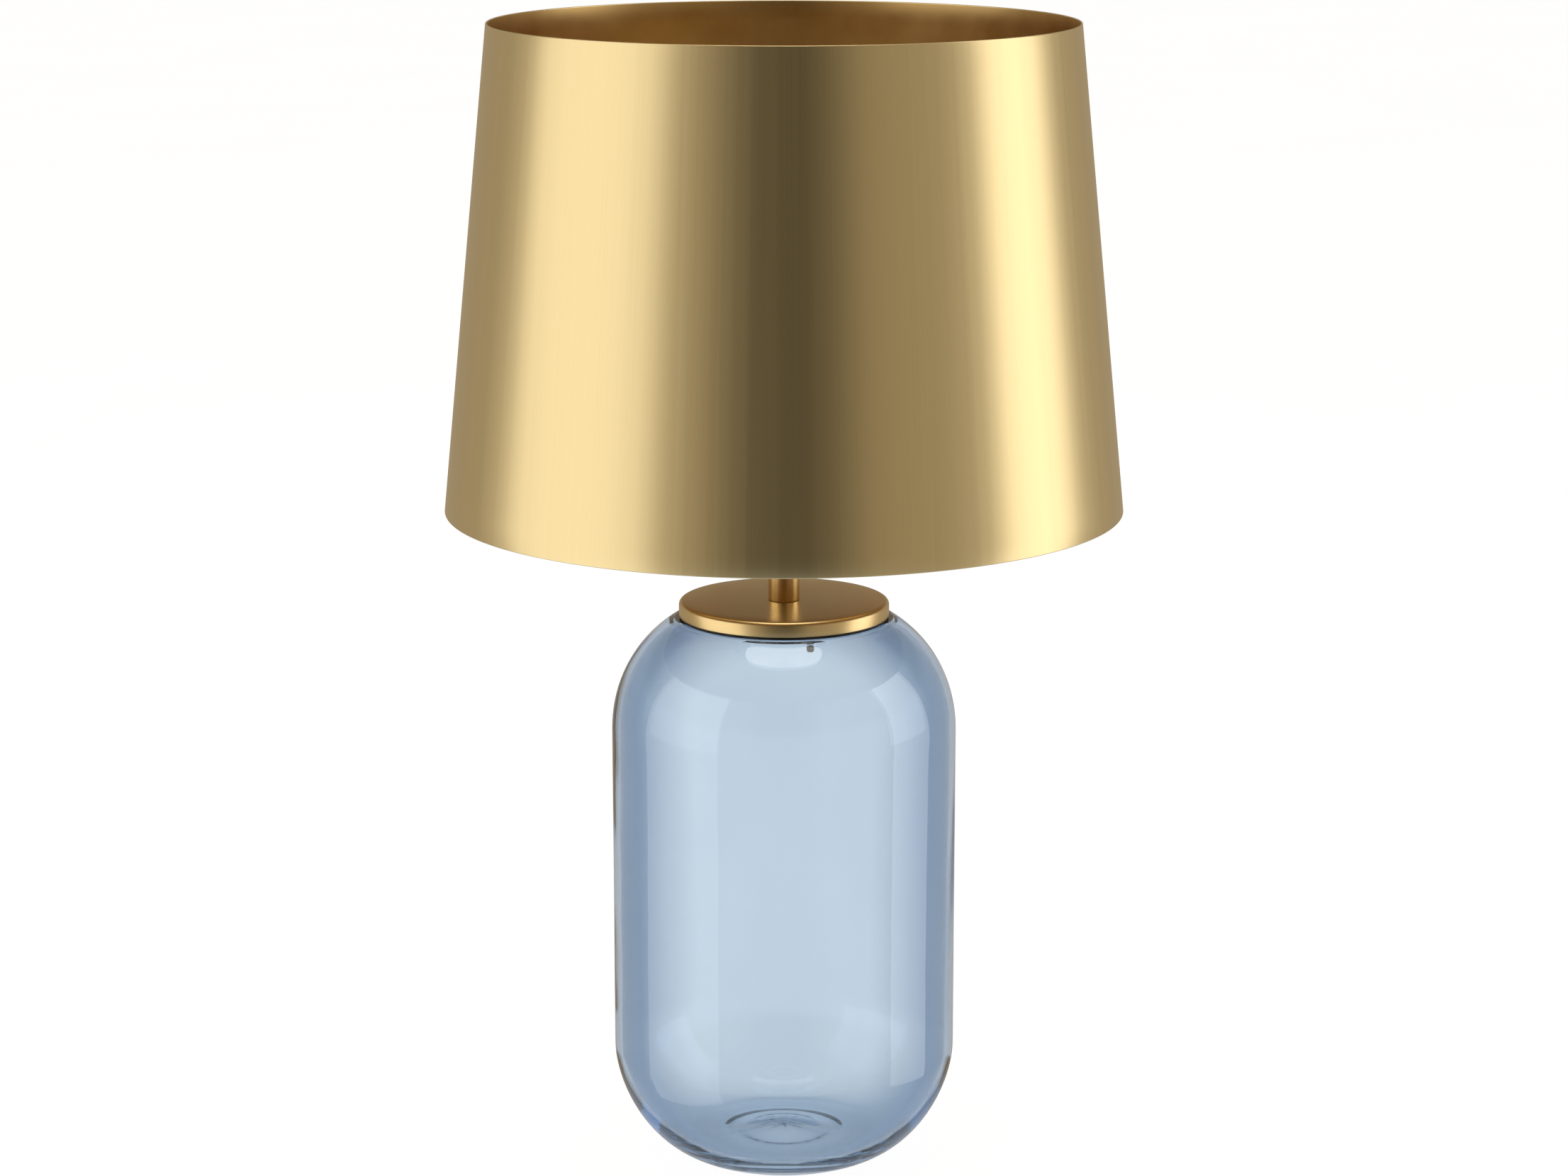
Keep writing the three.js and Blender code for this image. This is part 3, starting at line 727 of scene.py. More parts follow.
def makeBushing():
    shape = {"wall": 0.0007, "flange": 0.0012, "edge": 0.00025}
    low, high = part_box("cord_bushing")
    height = high.z - low.z
    centreZ = (low.z + high.z) / 2
    flangeWidth = high.x - low.x
    bodyWidth = flangeWidth - 0.002
    flange = cubeAt(flangeWidth, shape["flange"], height, (0, low.y + shape["flange"] / 2, centreZ))
    bodyDepth = high.y - low.y - shape["flange"]
    bodyY = low.y + shape["flange"] + bodyDepth / 2
    facesWhere(flange, lambda centre, normal: normal.y > 0.9)
    bpy.ops.mesh.inset(thickness=(flangeWidth - bodyWidth) / 4)
    pushFaces((0, bodyDepth, 0))
    endEdit()
    bevelEdges(flange, shape["edge"])
    room = height - 2 * shape["wall"] - 0.0004
    passage = cubeAt(bodyWidth - 2 * shape["wall"], 0.02, room, (0, bodyY, centreZ))
    bevelEdges(passage, 0.0008, 4)
    cutAway(flange, [passage])
    flange.name = flange.data.name = "cord_inlet_bushing"
    return finishPiece(flange, "lid", plastic, ["cord_bushing"])


def makeSealRing():
    # a thick rubber ring with two grooves round it, so that it bulges evenly when squeezed
    shape = {"width": 0.0115, "edge": 0.0008, "groove": 0.0007, "channel": 0.0064}
    lowZ, highZ = heightsOf("plug_seal_ring")
    outerR = radiusOf("plug_seal_ring")
    innerR = outerR - shape["width"]
    edge, groove = shape["edge"], shape["groove"]
    step = (highZ - lowZ) / 3
    outline = arc(outerR - edge, lowZ + edge, edge, -90, 0, 4)
    for i in (1, 2):
        outline += arc(outerR, lowZ + i * step, groove, 270, 90, 6)
    outline += arc(outerR - edge, highZ - edge, edge, 0, 90, 4)
    outline += arc(innerR + edge, highZ - edge, edge, 90, 180, 4)
    outline += arc(innerR + edge, lowZ + edge, edge, 180, 270, 4)
    ring = spun("plug_seal", outline, 128)
    place = (0, outerR - shape["width"] / 2, highZ - 0.00295)
    channel = cubeAt(shape["channel"], 0.024, 0.0043, place)
    cutAway(ring, [channel])
    return finishPiece(ring, "lid", rubber, ["plug_seal_ring"])


def makePlate():
    lowZ, highZ = heightsOf("plug_plate")
    outline = ringOutline(rodBore, radiusOf("plug_plate"), lowZ, highZ, 0.0003)
    plate = spun("plug_plate_disc", outline, 96)
    holes = []
    for node in ("hub_screw_1", "hub_screw_2"):
        place = middleOf(node)
        holes.append(rodAt(0.0021, 0.01, (place.x, place.y, lowZ)))
    cutAway(plate, holes)
    return finishPiece(plate, "lid", zinc, ["plug_plate"])


def hexagon(name, node, edge):
    lowZ, highZ = heightsOf(node)
    middle = (0, 0, (lowZ + highZ) / 2)
    nut = rodAt(radiusOf(node), highZ - lowZ, middle, (0, 0, math.pi / 2), 6)
    nut.name = nut.data.name = name
    bevelEdges(nut, edge, 2)
    return nut, lowZ


def makeHub():
    shape = {"edge": 0.0006, "recess": 0.0004, "bore": rodBore}
    hub, lowZ = hexagon("plug_hub_nut", "plug_hub", shape["edge"])
    facesWhere(hub, lambda centre, normal: normal.z < -0.9 and centre.xy.length < 0.004)
    bpy.ops.mesh.inset(thickness=0.0035)
    pushFaces((0, 0, shape["recess"]))
    endEdit()
    holes = [rodAt(shape["bore"], 0.02, (0, 0, lowZ), sides=64)]
    for node in ("hub_screw_1", "hub_screw_2"):
        place = middleOf(node)
        holes.append(rodAt(0.0019, 0.02, (place.x, place.y, lowZ)))
    cutAway(hub, holes)
    return finishPiece(hub, "lid", plastic, ["plug_hub"])


def makeHubScrews():
    # a pan-head screw with a rolled thread and a chamfered end, made on the axis and moved out
    shape = {"shankR": 0.00175, "headR": 0.0033, "headH": 0.002, "pitch": 0.0006, "depth": 0.00022}
    low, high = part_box("hub_screw_1")
    headZ = high.z - shape["headH"]
    coreR = shape["shankR"] - shape["depth"]
    rows = 72
    outline = [(0, low.z), (coreR - 0.0004, low.z), (coreR, low.z + 0.0004)]
    outline += upWall(coreR, low.z + 0.0005, headZ - 0.001, rows)
    outline += [(shape["shankR"], headZ - 0.0006), (shape["shankR"], headZ)]
    outline += [(shape["headR"], headZ), (shape["headR"], headZ + 0.0009)]
    outline += arc(shape["headR"] - 0.0011, headZ + 0.0009, 0.0011, 0, 90, 5)
    outline += [(0.0012, high.z), (0.0009, high.z - 0.0008), (0, high.z - 0.0009)]
    screw = spun("hub_screw_a", outline, 32, closed=False)
    rollThread(screw, coreR, low.z + 0.0003, headZ - 0.0008, shape["pitch"], shape["depth"], 0.0001)
    slot = cubeAt(0.0046, 0.0007, 0.0016, (0, 0, high.z))
    cross = cubeAt(0.0007, 0.0046, 0.0016, (0, 0, high.z))
    cutAway(screw, [slot, cross])
    other = cloned(screw)
    other.name = other.data.name = "hub_screw_b"
    for piece, node in ((screw, "hub_screw_1"), (other, "hub_screw_2")):
        place = middleOf(node)
        piece.location = (place.x, place.y, 0)
        settle(piece)
        finishPiece(piece, "lid", darkSteel, [node])


def makeRodNut():
    nut, lowZ = hexagon("stem_nut", "rod_nut", 0.0004)
    cutAway(nut, [rodAt(rodBore, 0.02, (0, 0, lowZ), sides=48)])
    return finishPiece(nut, "lid", zinc, ["rod_nut"])


def makeLockWasher():
    # a toothed washer: every second stretch of its rim stands out as a tooth
    lowZ, highZ = heightsOf("rod_lock_washer")
    outerR = radiusOf("rod_lock_washer")
    teeth = 24
    washer = spun("toothed_washer", ringOutline(rodBore, outerR - 0.001, lowZ, highZ, 0.0002), 48)

    def isTooth(centre, normal):
        onRim = normal.xy.length > 0.95 and centre.xy.length > outerR - 0.0012
        return onRim and inRib(centre, teeth)

    facesWhere(washer, isTooth)
    swellFaces(-0.0009)
    return finishPiece(washer, "lid", zinc, ["rod_lock_washer"])


def makeRod():
    shape = {"wall": 0.0011, "pitch": 0.001, "depth": 0.0004}
    lowZ, highZ = heightsOf("stem_rod")
    outerR = radiusOf("stem_rod")
    coreR = outerR - shape["depth"]
    innerR = outerR - shape["wall"]
    rows = round((highZ - lowZ) / shape["pitch"] * 5)
    outline = upWall(coreR, lowZ + 0.0003, highZ - 0.0003, rows)
    outline += [(coreR - 0.0003, highZ), (innerR, highZ), (innerR, lowZ), (coreR - 0.0003, lowZ)]
    rod = spun("threaded_rod", outline, 32)
    rollThread(rod, coreR, lowZ + 0.0004, highZ - 0.0004, shape["pitch"], shape["depth"], 0.0001)
    slot = cubeAt(0.005, 0.008, 0.0026, (0, outerR, bottomOf("rod_nut") - 0.0016))
    cutAway(rod, [slot])
    return finishPiece(rod, "lid", zinc, ["stem_rod"])


def makeStem():
    lowZ, highZ = heightsOf("stem_tube")
    outerR = radiusOf("stem_tube")
    stem = spun("stem", ringOutline(outerR - 0.0012, outerR, lowZ, highZ, 0.0003), 96)
    # the stem wears the lighter gold copy, painted light on its highlights
    finishPiece(stem, "lid", paintedLightStemGold, ["stem_tube"])
    lowZ, highZ = heightsOf("stem_top_washer")
    outline = ringOutline(rodBore, radiusOf("stem_top_washer"), lowZ, highZ, 0.0004)
    washer = spun("stem_washer", outline, 96)
    finishPiece(washer, "lid", gold, ["stem_top_washer"])


makeLid()
makeGasket()
makeBushing()
makeSealRing()
makePlate()
makeHub()
makeHubScrews()
makeRodNut()
makeLockWasher()
makeRod()
makeStem()
print("lid and stem made")


# The lamp holder

holderShape = {
    "wall": 0.002, "threadPitch": 0.0025, "threadDepth": 0.00035, "lipR": 0.0152, "ribs": 24,
}


def makeHolderBase():
    lowZ, highZ = heightsOf("holder_base")
    outerR = radiusOf("holder_base")
    hubR, hubH, bore = 0.0085, 0.006, rodBore
    rimInnerR = outerR - 0.0033
    outline = (
        [(bore, lowZ), (hubR - 0.0004, lowZ), (hubR, lowZ + 0.0004)]
        + [(hubR, lowZ + hubH - 0.001)]
        + arc(hubR + 0.0015, lowZ + hubH - 0.0008, 0.0015, 180, 105, 4)
        + arc(outerR - 0.0055, lowZ + hubH + 0.0072, 0.0055, -62, 0, 8)
        + [(outerR, highZ - 0.0003), (outerR - 0.0003, highZ)]
        + [(rimInnerR, highZ), (rimInnerR, highZ - 0.003)]
        + [(hubR + 0.0022, lowZ + hubH + 0.0022), (bore, lowZ + hubH + 0.0022)]
    )
    base = spun("holder_dome", outline, 96)

    def isRib(centre, normal):
        onRim = centre.xy.length > outerR - 0.0002 and centre.z < highZ - 0.0005
        return onRim and inRib(centre, holderShape["ribs"])

    facesWhere(base, isRib)
    swellFaces(0.0004)
    grubZ = middleOf("holder_grub_screw").z
    cutAway(base, [rodAt(0.0016, 0.02, (0, 0.012, grubZ), (math.pi / 2, 0, 0))])
    return finishPiece(base, "lid", plastic, ["holder_base"])


def makeGrubScrew():
    low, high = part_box("holder_grub_screw")
    middle = (low + high) / 2
    radius = (high.x - low.x) / 2
    screw = rodAt(radius, high.y - low.y, middle, (math.pi / 2, 0, 0), 32)
    screw.name = screw.data.name = "grub_screw"
    bevelEdges(screw, 0.0003, 2)
    slot = cubeAt(0.004, 0.0016, 0.0006, (0, high.y, middle.z))
    cutAway(screw, [slot])
    return finishPiece(screw, "lid", zinc, ["holder_grub_screw"])


def makeHolderShell():
    shape = holderShape
    lowZ, highZ = heightsOf("holder_shell")
    outerR = radiusOf("holder_shell")
    innerR = outerR - shape["wall"]
    rootR = outerR - shape["threadDepth"]
    threadTop = highZ - 0.004
    rows = round((threadTop - lowZ) / shape["threadPitch"] * 10)
    outline = (
        [(rootR - 0.0004, lowZ)]
        + upWall(rootR, lowZ + 0.0004, threadTop, rows)
        + [(outerR, threadTop + 0.0004), (outerR, highZ - 0.0012)]
        + arc(outerR - 0.0012, highZ - 0.0012, 0.0012, 0, 90, 5)[1:]
        + arc(shape["lipR"] + 0.0008, highZ - 0.0008, 0.0008, 90, 180, 4)
        + [(shape["lipR"], highZ - shape["wall"]), (innerR, highZ - shape["wall"]), (innerR, lowZ)]
    )
    shell = spun("holder_sleeve", outline, 96)
    pitch, depth = shape["threadPitch"], shape["threadDepth"]
    rollThread(shell, rootR, lowZ + 0.0005, threadTop, pitch, depth, 0.0001, 0.6)
    return finishPiece(shell, "lid", plastic, ["holder_shell"])


def makeInsert():
    lowZ, highZ = heightsOf("holder_insert")
    outerR = radiusOf("holder_insert")
    pocketR, pocketZ, edge = 0.0076, highZ - 0.002, 0.0004
    outline = (
        [(0, lowZ), (outerR - edge, lowZ), (outerR, lowZ + edge)]
        + [(outerR, highZ - edge), (outerR - edge, highZ), (pocketR + edge, highZ)]
        + [(pocketR, highZ - edge), (pocketR, pocketZ), (0, pocketZ)]
    )
    insert = spun("holder_core", outline, 64, closed=False)
    holes = [rodAt(0.0012, 0.004, (side * 0.0055, 0, pocketZ), sides=24) for side in (-1, 1)]
    cutAway(insert, holes)
    return finishPiece(insert, "lid", whitePlastic, ["holder_insert"])


def makeScrewShell():
    # thin brass with the wide rolled thread of the socket
    shape = {"wall": 0.0004, "pitch": 0.00363, "depth": 0.00055}
    lowZ, highZ = heightsOf("screw_shell")
    outerR = radiusOf("screw_shell") - shape["depth"]
    holeR = 0.0076
    rows = round((highZ - lowZ) / shape["pitch"] * 14)
    outline = [(holeR, lowZ), (outerR - 0.001, lowZ)]
    outline += arc(outerR - 0.001, lowZ + 0.001, 0.001, -90, 0, 4)[1:]
    outline += upWall(outerR, lowZ + 0.0011, highZ, rows)[1:]
    shell = spunSheet("socket_shell", outline, 96, shape["wall"])
    rollThread(shell, outerR, lowZ + 0.0012, highZ + 0.0001, shape["pitch"], shape["depth"], 0.0001)
    return finishPiece(shell, "lid", brass, ["screw_shell"])


def makeCentreContact():
    low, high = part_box("centre_contact")
    width = high.y - low.y
    thick = 0.0005
    footEnd, slopeEnd = low.x + 0.0026, low.x + 0.0050
    strip = cubeAt(footEnd - low.x, width, thick, ((low.x + footEnd) / 2, 0, low.z + thick / 2))
    strip.name = strip.data.name = "contact_tongue"
    rise = high.z - low.z - thick
    moves = ((slopeEnd - footEnd, rise), (high.x - slopeEnd, 0.0))
    for run, lift in moves:
        farX = max(vertex.co.x for vertex in strip.data.vertices)
        facesWhere(strip, lambda centre, normal: normal.x > 0.5 and centre.x > farX - 0.0004)
        pushFaces((run, 0, lift))
        endEdit()
    bevelEdges(strip, 0.00015, 2)
    deselectAll()
    bpy.ops.mesh.primitive_uv_sphere_add(
        segments=24, ring_count=12, radius=0.0011,
        location=((slopeEnd + high.x) / 2, 0, high.z - 0.001),
    )
    dimple = bpy.context.object
    settle(dimple)
    mergeInto(strip, [dimple])
    return finishPiece(strip, "contact", brass, ["centre_contact"])


def makeTerminals():
    for side in ("live", "neutral"):
        low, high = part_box("terminal_" + side)
        size = high - low
        block = cubeAt(size.x, size.y, size.z, (low + high) / 2)
        block.name = block.data.name = side + "_terminal"
        bevelEdges(block, 0.0004, 2)
        middle = (low + high) / 2
        cutAway(block, [rodAt(0.0011, 0.02, (middle.x, 0, middle.z), (math.pi / 2, 0, 0), 24)])
        finishPiece(block, "lid", brass, ["terminal_" + side])
        low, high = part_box("terminal_screw_" + side)
        middle = (low + high) / 2
        screw = rodAt((high.x - low.x) / 2, high.z - low.z, middle, sides=32)
        screw.name = screw.data.name = side + "_terminal_screw"
        bevelEdges(screw, 0.0003, 3)
        cutAway(screw, [cubeAt(0.006, 0.0007, 0.0014, (middle.x, 0, low.z))])
        finishPiece(screw, "lid", zinc, ["terminal_screw_" + side])


makeHolderBase()
makeGrubScrew()
makeHolderShell()
makeInsert()
makeScrewShell()
makeCentreContact()
makeTerminals()
print("holder made")


# Shade rings, fitter and shade

def makeShadeRing(name, node, body):
    # a ribbed ring with the holder's thread inside
    shape = {"edge": 0.001, "ribs": 30, "ribDepth": 0.0007}
    lowZ, highZ = bottomOf(node), topOf(node)
    outerR = radiusOf(node)
    innerR = radiusOf("holder_shell") + 0.0004
    bodyR = outerR - shape["ribDepth"]
    edge = shape["edge"]
    outline = (
        [(bodyR - edge, lowZ)]
        + arc(bodyR - edge, lowZ + edge, edge, -90, 0, 3)[1:]
        + arc(bodyR - edge, highZ - edge, edge, 0, 90, 3)
        + [(innerR + 0.0005, highZ)]
        + upWall(innerR, highZ - 0.0005, lowZ + 0.0005, 18)
        + [(innerR + 0.0005, lowZ)]
    )
    ring = spun(name, outline, 4 * shape["ribs"])

    def isRib(centre, normal):
        onRim = centre.xy.length > bodyR - 0.0001 and normal.xy.length > 0.9
        return onRim and inRib(centre, shape["ribs"])

    facesWhere(ring, isRib)
    swellFaces(shape["ribDepth"] - 0.0001)
    pitch = holderShape["threadPitch"]
    rollThread(ring, innerR, lowZ + 0.0004, highZ - 0.0004, pitch, 0.0003, 0.0001)
    return finishPiece(ring, body, plastic, [node])


shadeCone = {"bottomR": 0.150, "topR": 0.1288, "height": 0.2136}


def makeFitter():
    ringOuterR = radiusOf("fitter_ring")
    lowZ, highZ = heightsOf("fitter_ring")
    innerR = radiusOf("holder_shell") + 0.0008
    ring = spun("fitter_plate", ringOutline(innerR, ringOuterR, lowZ, highZ, 0.0004), 128)
    finishPiece(ring, "shade", gold, ["fitter_ring"])
    low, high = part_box("fitter_arm_1")
    wireR = (high.x - low.x) / 2
    armZ = low.z + wireR
    topZ = high.z
    farY = high.y - wireR
    rise = topZ - armZ
    lean = (shadeCone["bottomR"] - shadeCone["topR"]) / shadeCone["height"]
    bend = 0.010
    alongY = (ringOuterR - 0.0015, (ringOuterR + farY) / 2, farY - bend)
    points = [(0, y, armZ) for y in alongY]
    for i in range(1, 9):
        turn = math.radians(90 * i / 8)
        points.append((0, farY - bend + bend * math.sin(turn), armZ + bend * (1 - math.cos(turn))))
    points.append((0, farY - lean * (rise - bend), topZ - 0.0002))
    arm = wire("fitter_wire_1", points, wireR, 6)
    editAll(arm)
    endEdit()
    bead = weldBead((0, ringOuterR + 0.0006, armZ), (0.0052, 0.0040, 0.0026))
    foot = weldBead((0, farY - lean * 0.004 + 0.0012, topZ - 0.006), (0.0046, 0.0022, 0.0105))
    mergeInto(arm, [bead, foot])
    arms = around(arm, 3, 2 * math.pi / 3)
    for i, piece in enumerate(arms, 1):
        piece.name = piece.data.name = f"fitter_wire_{i}"
        finishPiece(piece, "shade", gold, [f"fitter_arm_{i}"], 60)


def weldBead(place, size):
    # a small lump of filler metal
    deselectAll()
    bpy.ops.mesh.primitive_ico_sphere_add(subdivisions=3, radius=0.5, location=place)
    bead = bpy.context.object
    bead.scale = size
    settle(bead)
    rough = bead.modifiers.new("rough", "DISPLACE")
    lumps = bpy.data.textures.new("beadLumps", "CLOUDS")
    lumps.noise_scale = 0.0012
    rough.texture = lumps
    rough.strength = 0.0003
    applyAll(bead)
    bpy.data.textures.remove(lumps)
    return bead


shadeShape = {"sheet": 0.0008, "steps": 256, "rows": 24}


def makeShade():
    shape = shadeShape
    lowZ, highZ = heightsOf("shade_shell")
    bottomR = radiusOf("shade_shell")
    topR = 0.1288
    sheet = shape["sheet"]
    edge = sheet / 2

    def radiusAt(share):
        return bottomR + (topR - bottomR) * share

    outer, inner = [], []
    for i in range(shape["rows"] + 1):
        share = i / shape["rows"]
        z = lowZ + edge + (highZ - lowZ - sheet) * share
        outer.append((radiusAt(share), z))
        inner.append((radiusAt(share) - sheet, z))
    outline = (
        outer
        + arc(topR - edge, highZ - edge, edge, 0, 180, 6)[1:-1]
        + inner[::-1]
        + arc(bottomR - edge, lowZ + edge, edge, 180, 360, 6)[1:-1]
    )
    shade = spun("shade", outline, shape["steps"])
    finishPiece(shade, "shade", goldSheet, ["shade_shell"], 50)
    # the inner faces take the darker gold copy, painted shade inside the shade
    shade.data.materials.append(paintedShadeGold)
    for face in shade.data.polygons:
        if face.normal.xy.dot(face.center.xy) < 0 and lowZ + sheet < face.center.z < highZ - sheet:
            face.material_index = 1


makeShadeRing("lower_shade_ring", "shade_ring_lower", "lower_ring")
makeShadeRing("upper_shade_ring", "shade_ring_upper", "upper_ring")
makeFitter()
makeShade()
print("shade made")


# The bulb

bulbShape = {
    "wall": 0.0008, "neckR": 0.0129, "joinTurn": -35, "pitch": 0.00363, "threadDepth": 0.0006,
}


def bulbProfile(radius, lowZ, topZ):
    # from the neck up to the crown
    centreZ = topZ - radius
    turn = math.radians(bulbShape["joinTurn"])
    joinR, joinZ = radius * math.cos(turn), centreZ + radius * math.sin(turn)
    corners = (
        (bulbShape["neckR"], lowZ),
        (bulbShape["neckR"] + 0.0005, lowZ + 0.012),
        (joinR * 0.74, joinZ - 0.011),
        (joinR, joinZ),
    )
    points = []
    for i in range(25):
        t = i / 24
        weights = ((1 - t) ** 3, 3 * t * (1 - t) ** 2, 3 * t * t * (1 - t), t ** 3)
        points.append(tuple(sum(w * c[k] for w, c in zip(weights, corners)) for k in (0, 1)))
    for i in range(1, 32):
        angle = turn + (math.pi / 2 - turn) * i / 32
        points.append((radius * math.cos(angle), centreZ + radius * math.sin(angle)))
    return points + [(0, topZ)]


def makeBulbGlass():
    lowZ, topZ = bottomOf("bulb_glass"), topOf("bulb_glass")
    outline = bulbProfile(0.030, lowZ, topZ)
    glass = spunSheet("bulb_envelope", outline, 96, bulbShape["wall"])
    applyAll(glass)
    return finishPiece(glass, "bulb", bulbClear, ["bulb_glass"], 60)


def makeBulbCap():
    shape = bulbShape
    lowZ, topZ = bottomOf("bulb_cap"), topOf("bulb_cap")
    outerR = radiusOf("bulb_cap") - shape["threadDepth"]
    threadTop = topZ - 0.0035
    rows = round((threadTop - lowZ) / shape["pitch"] * 14)
    outline = [(0.0114, lowZ), (outerR - 0.0008, lowZ + 0.0002)]
    outline += upWall(outerR, lowZ + 0.001, threadTop, rows)
    outline += [(radiusOf("bulb_cap"), threadTop + 0.0008), (radiusOf("bulb_cap"), topZ - 0.0002)]
    cap = spunSheet("bulb_screw_cap", outline, 96, 0.0004)
    rollThread(cap, outerR, lowZ + 0.0011, threadTop, shape["pitch"], shape["threadDepth"], 0.0001)
    return finishPiece(cap, "bulb", nickel, ["bulb_cap"])


def makeBulbTip():
    lowZ, topZ = bottomOf("bulb_insulator"), topOf("bulb_insulator")
    wideR = radiusOf("bulb_insulator")
    outline = (
        [(0, lowZ), (0.0052, lowZ), (0.0060, lowZ + 0.0004)]
        + arc(wideR, lowZ + 0.0006, 0.0040, 178, 118, 6)
        + [(wideR, topZ - 0.0006), (wideR, topZ), (0, topZ)]
    )
    insulator = spun("bulb_base_glass", outline, 64, closed=False)
    finishPiece(insulator, "bulb", blackGlass, ["bulb_insulator"])
    lowZ, topZ = bottomOf("bulb_contact"), topOf("bulb_contact")
    outline = [(0, lowZ), (0.0016, lowZ + 0.00005)]
    outline += [(0.0029, lowZ + 0.0004), (0.0040, lowZ + 0.0009)]
    outline += [(0.0048, topZ - 0.0004), (0.0048, topZ), (0, topZ)]
    tip = spun("bulb_tip_contact", outline, 48, closed=False)
    finishPiece(tip, "bulb", solder, ["bulb_contact"])


def makeBulbInside():
    # the flared glass foot with its pinch, the lead wires and the four filament sticks
    shape = {"stickR": 0.0010, "capH": 0.0022, "wireR": 0.0003}
    lowZ, topZ = bottomOf("bulb_mount"), topOf("bulb_mount")
    footR = radiusOf("bulb_mount")
    outline = (
        [(0, lowZ + 0.0008), (footR - 0.001, lowZ + 0.0006), (footR, lowZ), (footR, lowZ + 0.0009)]
        + [(footR * 0.55, lowZ + 0.0022), (0.0042, lowZ + 0.0045), (0.0034, lowZ + 0.008)]
        + [(0.0030, topZ - 0.004), (0.0022, topZ - 0.0012), (0.0012, topZ - 0.0002), (0, topZ)]
    )
    mount = spun("bulb_stem", outline, 48, closed=False)
    finishPiece(mount, "bulb", bulbClear, ["bulb_mount"], 60)
    for i in range(1, 5):
        low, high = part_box(f"led_filament_{i}")
        middle = (low + high) / 2
        stick = rodAt(shape["stickR"], high.z - low.z - 2 * shape["capH"], middle, sides=24)
        stick.name = stick.data.name = f"filament_{i}"
        bevelEdges(stick, 0.0004, 3)
        finishPiece(stick, "bulb", phosphor, [f"led_filament_{i}"])
        lead = wire(f"filament_lead_{i}", [
            (middle.x * 0.10, middle.y * 0.10, topZ - 0.003),
            (middle.x * 0.25, middle.y * 0.25, topZ + 0.0006),
            (middle.x * 0.75, middle.y * 0.75, low.z - 0.0012),
            (middle.x, middle.y, low.z + 0.0002),
            (middle.x, middle.y, low.z + shape["capH"] + 0.001),
        ], shape["wireR"], 3)
        finishPiece(lead, "bulb", nickel)
    firstTop = topOf("led_filament_1")
    centre = middleOf("led_filament_1")
    reach = math.hypot(centre.x, centre.y)
    hub = spun("filament_top_ring", ringOutline(reach - 0.0004, reach + 0.0004, firstTop - 0.0003,
                                                firstTop + 0.0003, 0.0002), 64)
    finishPiece(hub, "bulb", nickel)
    for i in range(1, 5):
        middle = middleOf(f"led_filament_{i}")
        place = (middle.x, middle.y, firstTop - 0.0014)
        pin = rodAt(shape["wireR"], shape["capH"] + 0.001, place, sides=12)
        pin.name = pin.data.name = f"filament_pin_{i}"
        bevelEdges(pin, 0.00008, 1)
        finishPiece(pin, "bulb", nickel)


def coatDriver():
    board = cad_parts["bulb_driver"]
    board.data.materials.clear()
    board.data.materials.append(boardGreen)


makeBulbGlass()
makeBulbCap()
makeBulbTip()
makeBulbInside()
coatDriver()
print("bulb made")


# Floor, light and camera

studio = {
    "cameraPlace": (0.0, -1.7001, 0.6408),
    "cameraPitch": 0.2196,
    "lens": 89.71,
    "sensor": 36.0,
    "floorSize": 40.0,
    "floorGlow": 0.96,
    "bounces": 48,
    "roomTone": (0.38, 0.325, 0.25),
    "frontTone": (0.07, 0.061, 0.045),
    "groundTone": (0.52, 0.55, 0.60),
    "groundFrom": -20,
    "groundTo": -34,
    "darkFrom": 4,
    "darkTo": 31,
    "paleFrom": 10,
    "paleTo": 20,
}


def makeFloor():
    deselectAll()
    bpy.ops.mesh.primitive_plane_add(size=studio["floorSize"], location=(0, 0, -0.0003))
    floor = bpy.context.object
    floor.name = "floor"
    material, tree, shader = newMaterial("paleFloor")
    cloud = noiseOn(tree, objectPoint(tree), 3, 2)
    tone = twoTone(tree, cloud, (0.10, 0.10, 0.10), (0.12, 0.12, 0.12))
    tree.links.new(tone, shader.inputs["Base Color"])
    shader.inputs["Roughness"].default_value = 0.9
    shader.inputs["Specular IOR Level"].default_value = 0.0
    shader.inputs["Emission Color"].default_value = (1, 1, 1, 1)
    shader.inputs["Emission Strength"].default_value = studio["floorGlow"]
    # from below the floor is clear, so the lamp's underside can be looked at
    clear = addNode(tree, "ShaderNodeBsdfTransparent")
    side = addNode(tree, "ShaderNodeNewGeometry")
    either = addNode(tree, "ShaderNodeMixShader")
    tree.links.new(side.outputs["Backfacing"], either.inputs["Fac"])
    tree.links.new(shader.outputs["BSDF"], either.inputs[1])
    tree.links.new(clear.outputs["BSDF"], either.inputs[2])
    tree.links.new(either.outputs["Shader"], tree.nodes["Material Output"].inputs["Surface"])
    floor.data.materials.append(material)
    floor.visible_glossy = False
    floor.visible_shadow = False


def softBox(name, azimuth, distance, height, width, tall, radiance):
    # azimuth 0 stands behind the camera, and a positive one goes round to the lamp's right
    turn = math.radians(azimuth)
    place = Vector((distance * math.sin(turn), -distance * math.cos(turn), height))
    light = bpy.data.lights.new(name, "AREA")
    light.shape = "RECTANGLE"
    light.size, light.size_y = width, tall
    light.energy = radiance * math.pi * width * tall
    box = bpy.data.objects.new(name, light)
    bpy.context.scene.collection.objects.link(box)
    box.location = place
    box.rotation_euler = (math.pi / 2, 0, turn)
    return box


